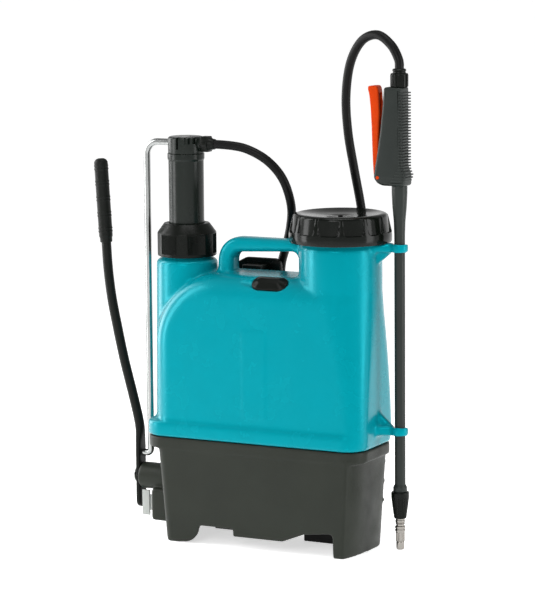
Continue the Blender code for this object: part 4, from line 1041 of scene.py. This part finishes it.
def make_handle():
    """The two halves of the trigger handle, with fine ribs across its back."""
    half_width, wall = 0.014, 0.0024
    for which, side in (("front", -1), ("rear", 1)):
        y0, y1 = sorted((side * GAP / 2, side * 0.03))
        outline = eased(handle_outline(0), 0.0035, 4, True)
        shell = upright(f"handle_half_{which}", outline, -half_width, half_width, 0.0048, 4)
        half = block("half", (0.15, y0, 0.49), (0.23, y1, 0.66), 0.00005)
        shell = boolean(shell, [half], "INTERSECT")
        cuts = [
            upright("room", handle_outline(wall), -half_width + wall, half_width - wall, 0.003, 2),
            rod("hose_hole", 0.0073, (LANCE_X, 0, 0.63), (LANCE_X, 0, 0.65)),
            rod("lance_hole", 0.0107, (LANCE_X, 0, 0.5), (LANCE_X, 0, 0.515)),
            rod("stem_hole", 0.0032, (0.18, 0, 0.562), (0.196, 0, 0.562), 24),
            block("trigger_slot", (0.15, -0.0088, 0.508), (0.185, 0.0088, 0.63), 0.0003),
            rod("pin_hole", 0.0026, (PIN_X, -0.03, PIN_Z), (PIN_X, 0.03, PIN_Z), 24),
        ]
        shell = joined(boolean(shell, cuts), handle_ribs(side))
        piece(shell, "lance_plastic", "lance", f"handle_shell_{which}", slot="charcoal_plastic", crease=35)


def make_valve():
    profile = [
        (0, 0.6378), (0.0055, 0.6378), (0.0058, 0.63), (0.0058, 0.58), (0.0066, 0.576), (0.0066, 0.548),
        (0.0058, 0.544), (0.0058, 0.516), (0, 0.516),
    ]
    turned("valve_body", profile, LANCE_X, "nickel_brass", "lance", "valve_housing", steps=48)


def make_trigger():
    """The orange trigger, with a lip at its tip and a hollowed finger face."""
    outline = [
        (0.17, 0.512), (0.165, 0.519), (0.1638, 0.535), (0.1628, 0.56), (0.162, 0.585), (0.1606, 0.61),
        (0.1586, 0.628), (0.1566, 0.6345), (0.157, 0.6386), (0.164, 0.6396), (0.17, 0.6394), (0.1722, 0.633),
        (0.1738, 0.602), (0.1728, 0.582), (0.1722, 0.56), (0.1735, 0.545), (0.1768, 0.528), (0.1785, 0.516),
        (0.1765, 0.5105),
    ]
    trigger = upright("squeeze_trigger", eased(outline, 0.003, 4, True), -0.008, 0.008, 0.0022, 4)
    hole = rod("hole", 0.0027, (PIN_X, -0.02, PIN_Z), (PIN_X, 0.02, PIN_Z), 24)
    channel = upright("channel", [(0.17, 0.56), (0.17, 0.63), (0.18, 0.63), (0.18, 0.56)], -0.005, 0.005, 0.001)
    piece(boolean(trigger, [hole, channel]), "orange_plastic", "trigger_lever", "trigger", crease=40)


def make_pin():
    profile = [
        (0, 0.0143), (0.001, 0.0143), (0.0012, 0.014), (0.0022, 0.014), (0.0024, 0.0137), (0.0024, -0.0137),
        (0.0022, -0.014), (0.0012, -0.014), (0.001, -0.0143), (0, -0.0143),
    ]
    pin = lathe("trigger_pivot", profile, (PIN_X, 0, PIN_Z), "Y", 32, 0.0002)
    piece(pin, "orange_plastic", "lance", "trigger_pin")


def make_hose_nut():
    """The fluted union nut that holds the hose on the handle, with its collar."""
    low = 0.638 + GAP

    def ripple(angle, radius, z):
        if radius < 0.0112 or z > low + 0.0175:
            return radius
        return radius - 0.001 * (math.cos(12 * angle) < 0.25)

    profile = [
        (0, low), (0.0115, low), (0.0121, low + 0.001), (0.0121, low + 0.016), (0.0112, low + 0.018),
        (0.0088, low + 0.0185), (0.0086, 0.659), (0.0094, 0.6598), (0.0094, 0.6612), (0.0084, 0.662),
        (0.008, 0.6625), (0, 0.6625),
    ]
    turned(
        "handle_union_nut", profile, LANCE_X, "black_plastic", "lance", "handle_hose_nut", crease=35, steps=288,
        ease=0.0004, ripple=ripple,
    )


def make_lance():
    bore = 0.0045
    profile = [
        (bore, 0.5155), (0.0066, 0.5155), (0.0106, 0.5052), (0.0106, 0.496), (0.0096, 0.477), (0.0079, 0.458),
        (0.0073, 0.44), (0.0073, 0.099), (0.0084, 0.0972), (0.0095, 0.095), (0.0095, 0.089), (0.006, 0.089),
        (0.006, 0.074), (bore, 0.074),
    ]
    turned(
        "lance_pipe", profile, LANCE_X, "lance_plastic", "lance", "lance_tube", "charcoal_plastic", steps=64,
        ease=0.0006,
    )


def make_nozzle():
    top = 0.0887
    fluted = [
        (0.0064, top), (0.0118, top), (0.0122, top - 0.0015), (0.0122, top - 0.007), (0.0104, 0.067), (0.0086, 0.054),
        (0.0078, 0.052), (0.0064, 0.052),
    ]

    def flutes(angle, radius, z):
        if radius < 0.008 or z > top - 0.0065:
            return radius
        return radius - 0.0005 * (math.cos(20 * angle) > 0.4)

    turned(
        "nozzle_union", fluted, LANCE_X, "black_plastic", "nozzle", "nozzle_nut", crease=35, steps=240, ease=0.0006,
        ripple=flutes,
    )
    body = [
        (0.002, 0.0735), (0.006, 0.0735), (0.006, 0.05), (0.0066, 0.0495), (0.0066, 0.047), (0.0058, 0.0465),
        (0.0058, 0.0458), (0.0066, 0.0453), (0.0066, 0.0446), (0.0054, 0.044), (0.0054, 0.042), (0.007, 0.041),
        (0.007, 0.0385), (0.0063, 0.038), (0.0063, 0.037), (0.007, 0.0365), (0.007, 0.0345),
        *((0.0062, 0.0335 - 0.001 * k) for k in range(13)), (0.0062, 0.0205), (0.002, 0.0205),
    ]

    def knurl(angle, radius, z):
        if radius < 0.0055 or not 0.0215 < z < 0.0325:
            return radius
        return radius - 0.00035 * (0.5 + 0.5 * math.cos(28 * angle))

    turned(
        "nozzle_barrel", body, LANCE_X, "nickel_brass", "nozzle", "nozzle_body", crease=35, steps=168, ease=0.0002,
        ripple=knurl,
    )
    tip = [
        (0.001, 0.0202), (0.005, 0.0202), (0.0055, 0.019), (0.0055, 0.01), (0.0046, 0.0088), (0.0018, 0.0088),
        (0.001, 0.0096),
    ]
    turned("nozzle_cap", tip, LANCE_X, "nickel_brass", "nozzle", "nozzle_tip", steps=64, ease=0.0003)


# ---------------------------------------------------------------- straps

STRAP_X = 0.062
PAD_ROUTE = [(0.078, 0.372), (0.09, 0.345), (0.102, 0.29), (0.103, 0.235), (0.093, 0.185), (0.084, 0.16)]
WEB_ROUTE = [(0.08, 0.144), (0.074, 0.12), (0.0695, 0.085), (0.067, 0.052)]


def strap_path(route, spacing):
    return smooth_route([(0, y, z) for y, z in route], spacing)


def band(name, route, spacing, section, x):
    path = [p + Vector((x, 0, 0)) for p in strap_path(route, spacing)]
    return swept(name, path, section, side=(1, 0, 0)), path


def swell(obj, pressure, cap):
    """Puffs a closed shape up with the Cloth simulation, moving no point further than cap."""
    scene = bpy.context.scene
    obj = remeshed(obj, 0.0045)
    rest = coordinates(obj.data)
    cloth = obj.modifiers.new("cloth", "CLOTH")
    cloth.settings.use_pressure = True
    cloth.settings.uniform_pressure_force = pressure
    cloth.settings.effector_weights.gravity = 0
    cloth.settings.quality = 5
    for frame_number in range(1, 21):
        scene.frame_set(frame_number)
    obj = baked(obj)
    scene.frame_set(1)
    co = coordinates(obj.data)
    move = co - rest
    far = np.linalg.norm(move, axis=1)[:, None]
    set_coordinates(obj.data, rest + move * np.minimum(1, cap / np.maximum(far, 1e-9)))
    return obj


def make_straps():
    for side, x in (("left", -STRAP_X), ("right", STRAP_X)):
        count = len(strap_path(PAD_ROUTE, 0.006))

        def pad_section(k):
            near_end = min(k, count - 1 - k) / 4
            narrow = 1 - 0.3 * max(0, 1 - near_end) ** 2
            return rounded_box(0.0262 * narrow, 0.0045, 0.004, 4)

        pad, path = band(f"pad_{side}", PAD_ROUTE, 0.006, pad_section, x)
        pad = swell(pad, 4.0, 0.005)
        smooth = pad.modifiers.new("smooth", "SUBSURF")
        smooth.levels = smooth.render_levels = 1
        pad = baked(pad)
        # Sewn seams pull the pad in: two along its length, which part it into three channels, and four across it.
        co = coordinates(pad.data)
        table = np.array([tuple(p) for p in path])
        nearest = np.array([np.argmin(((table[:, 1:] - c[1:]) ** 2).sum(axis=1)) for c in co])
        along = table[np.minimum(nearest + 1, len(table) - 1)] - table[np.maximum(nearest - 1, 0)]
        along /= np.linalg.norm(along, axis=1)[:, None]
        outward_way = np.stack([np.zeros(len(co)), along[:, 2], -along[:, 1]], axis=1)
        height = ((co - table[nearest]) * outward_way).sum(axis=1)
        across = co[:, 0] - x
        pull = sum(np.exp(-(((across - seam) / 0.0012) ** 2)) for seam in (-0.0125, 0.0125))
        pull = np.maximum(pull, sum(np.exp(-(((co[:, 2] - z) / 0.0012) ** 2)) for z in (0.352, 0.3, 0.235, 0.185)))
        co -= outward_way * (height * 0.3 * np.minimum(pull, 1))[:, None]
        set_coordinates(pad.data, co)
        piece(pad, "black_pad_fabric", "tank_body", f"shoulder_pad_{side}", crease=80)

        web, _ = band(f"webbing_{side}", WEB_ROUTE, 0.004, lambda k: rounded_box(0.015, 0.0011, 0.0009, 4), x)
        piece(web, "black_webbing", "tank_body", f"strap_webbing_{side}", crease=60)
        buckle = slab(f"ladder_buckle_{side}", rounded_box(0.019, 0.004, 0.0025, 6), -0.004, 0.004, 0.0012)
        slots = [
            block(f"slot_{k}", (-0.0155, -0.006, z), (0.0155, 0.006, z + 0.0018), 0.0003)
            for k, z in enumerate((-0.0026, 0.0008))
        ]
        buckle = shifted(boolean(buckle, slots), (x, 0.081, 0.1495))
        piece(buckle, "black_plastic", "tank_body", f"strap_buckle_{side}", crease=40)
        hook = block(f"anchor_hook_{side}", (x - 0.016, 0.059, 0.038), (x + 0.016, 0.072, 0.0505), 0.0024)
        notch = block("notch", (x - 0.011, 0.064, 0.043), (x + 0.011, 0.0685, 0.054), 0.0008)
        piece(boolean(hook, [notch]), "black_plastic", "tank_body", f"strap_hook_{side}", crease=40)


def make_yoke():
    outline = [
        (-0.092, 0.34), (-0.092, 0.366), (-0.083, 0.379), (-0.066, 0.388), (-0.019, 0.388), (-0.013, 0.384),
        (-0.01, 0.362), (0.08, 0.362), (0.092, 0.354), (0.092, 0.34),
    ]
    yoke = upright("shoulder_yoke", eased(outline, 0.003, 4, True), 0.063, 0.071, 0.002)
    stem = upright("stem", [(-0.06, 0.366), (-0.06, 0.38), (-0.03, 0.38), (-0.03, 0.366)], 0.04, 0.066, 0.0012)
    yoke = boolean(yoke, [stem], "UNION")
    column = rod("column", 0.0573, (FILLER_X, 0, 0.3), (FILLER_X, 0, 0.45), 96)
    yoke = boolean(yoke, [make_loaf("saddle", -GAP), column])
    piece(yoke, "black_plastic", "tank_body", "strap_yoke", crease=35)


def make_hose_clip():
    route, k = hose_points()
    middle = route[k]
    along = (route[k + 1] - route[k - 1]).normalized()
    profile = [(HOSE_R + GAP, 0.006), (0.009, 0.006), (0.009, -0.006), (HOSE_R + GAP, -0.006)]
    ring = lathe("hose_saddle", profile, steps=64, ease=0.0006)
    ring.data.transform(Vector((0, 0, 1)).rotation_difference(along).to_matrix().to_4x4())
    shifted(ring, middle)
    x, y, z = middle
    stub = block("stub", (x - 0.005, 0.0588, z - 0.005), (x + 0.005, y - 0.0075, z + 0.005), 0.001)
    piece(boolean(ring, [stub], "UNION"), "black_plastic", "tank_body", "hose_clip")


# ---------------------------------------------------------------- what stays from the CAD

INNER_FINISH = {
    "pump_gland_seal": "black_rubber", "pump_barrel": "white_plastic", "foot_valve": "black_plastic",
    "filler_strainer": "white_plastic", "inlet_valve_ball": "zinc_steel", "outlet_valve_ball": "zinc_steel",
    "shaft_retaining_washer": "zinc_steel", "piston_cup": "black_rubber", "dip_tube": "white_plastic",
    "cap_seal": "black_rubber", "trigger_spring": "zinc_steel",
    "valve_plunger": "nickel_brass",
}


def dress_inner_nodes():
    for name, look in INNER_FINISH.items():
        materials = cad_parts[name].data.materials
        materials.clear()
        materials.append(MATERIALS[look])


MATERIALS = {name: finish(name, **look) for name, look in LOOKS.items()}

add_camera()
add_hoses()
make_tank()
make_plug()
make_stand()
make_bracket()
make_foot("foot_pad_left", "rubber_foot_left", -0.107, -0.075, 0.038, 0.012)
make_foot("foot_pad_right", "rubber_foot_right", 0.043, 0.09, 0.02, 0.015)
make_pump_nut()
make_chamber()
make_head()
make_spout_nut()
make_rod()
make_lever()
make_grip()
make_shaft()
make_cap()
make_vent()
make_handle()
make_valve()
make_trigger()
make_pin()
make_hose_nut()
make_lance()
make_nozzle()
make_straps()
make_yoke()
make_hose_clip()
dress_inner_nodes()
add_studio()
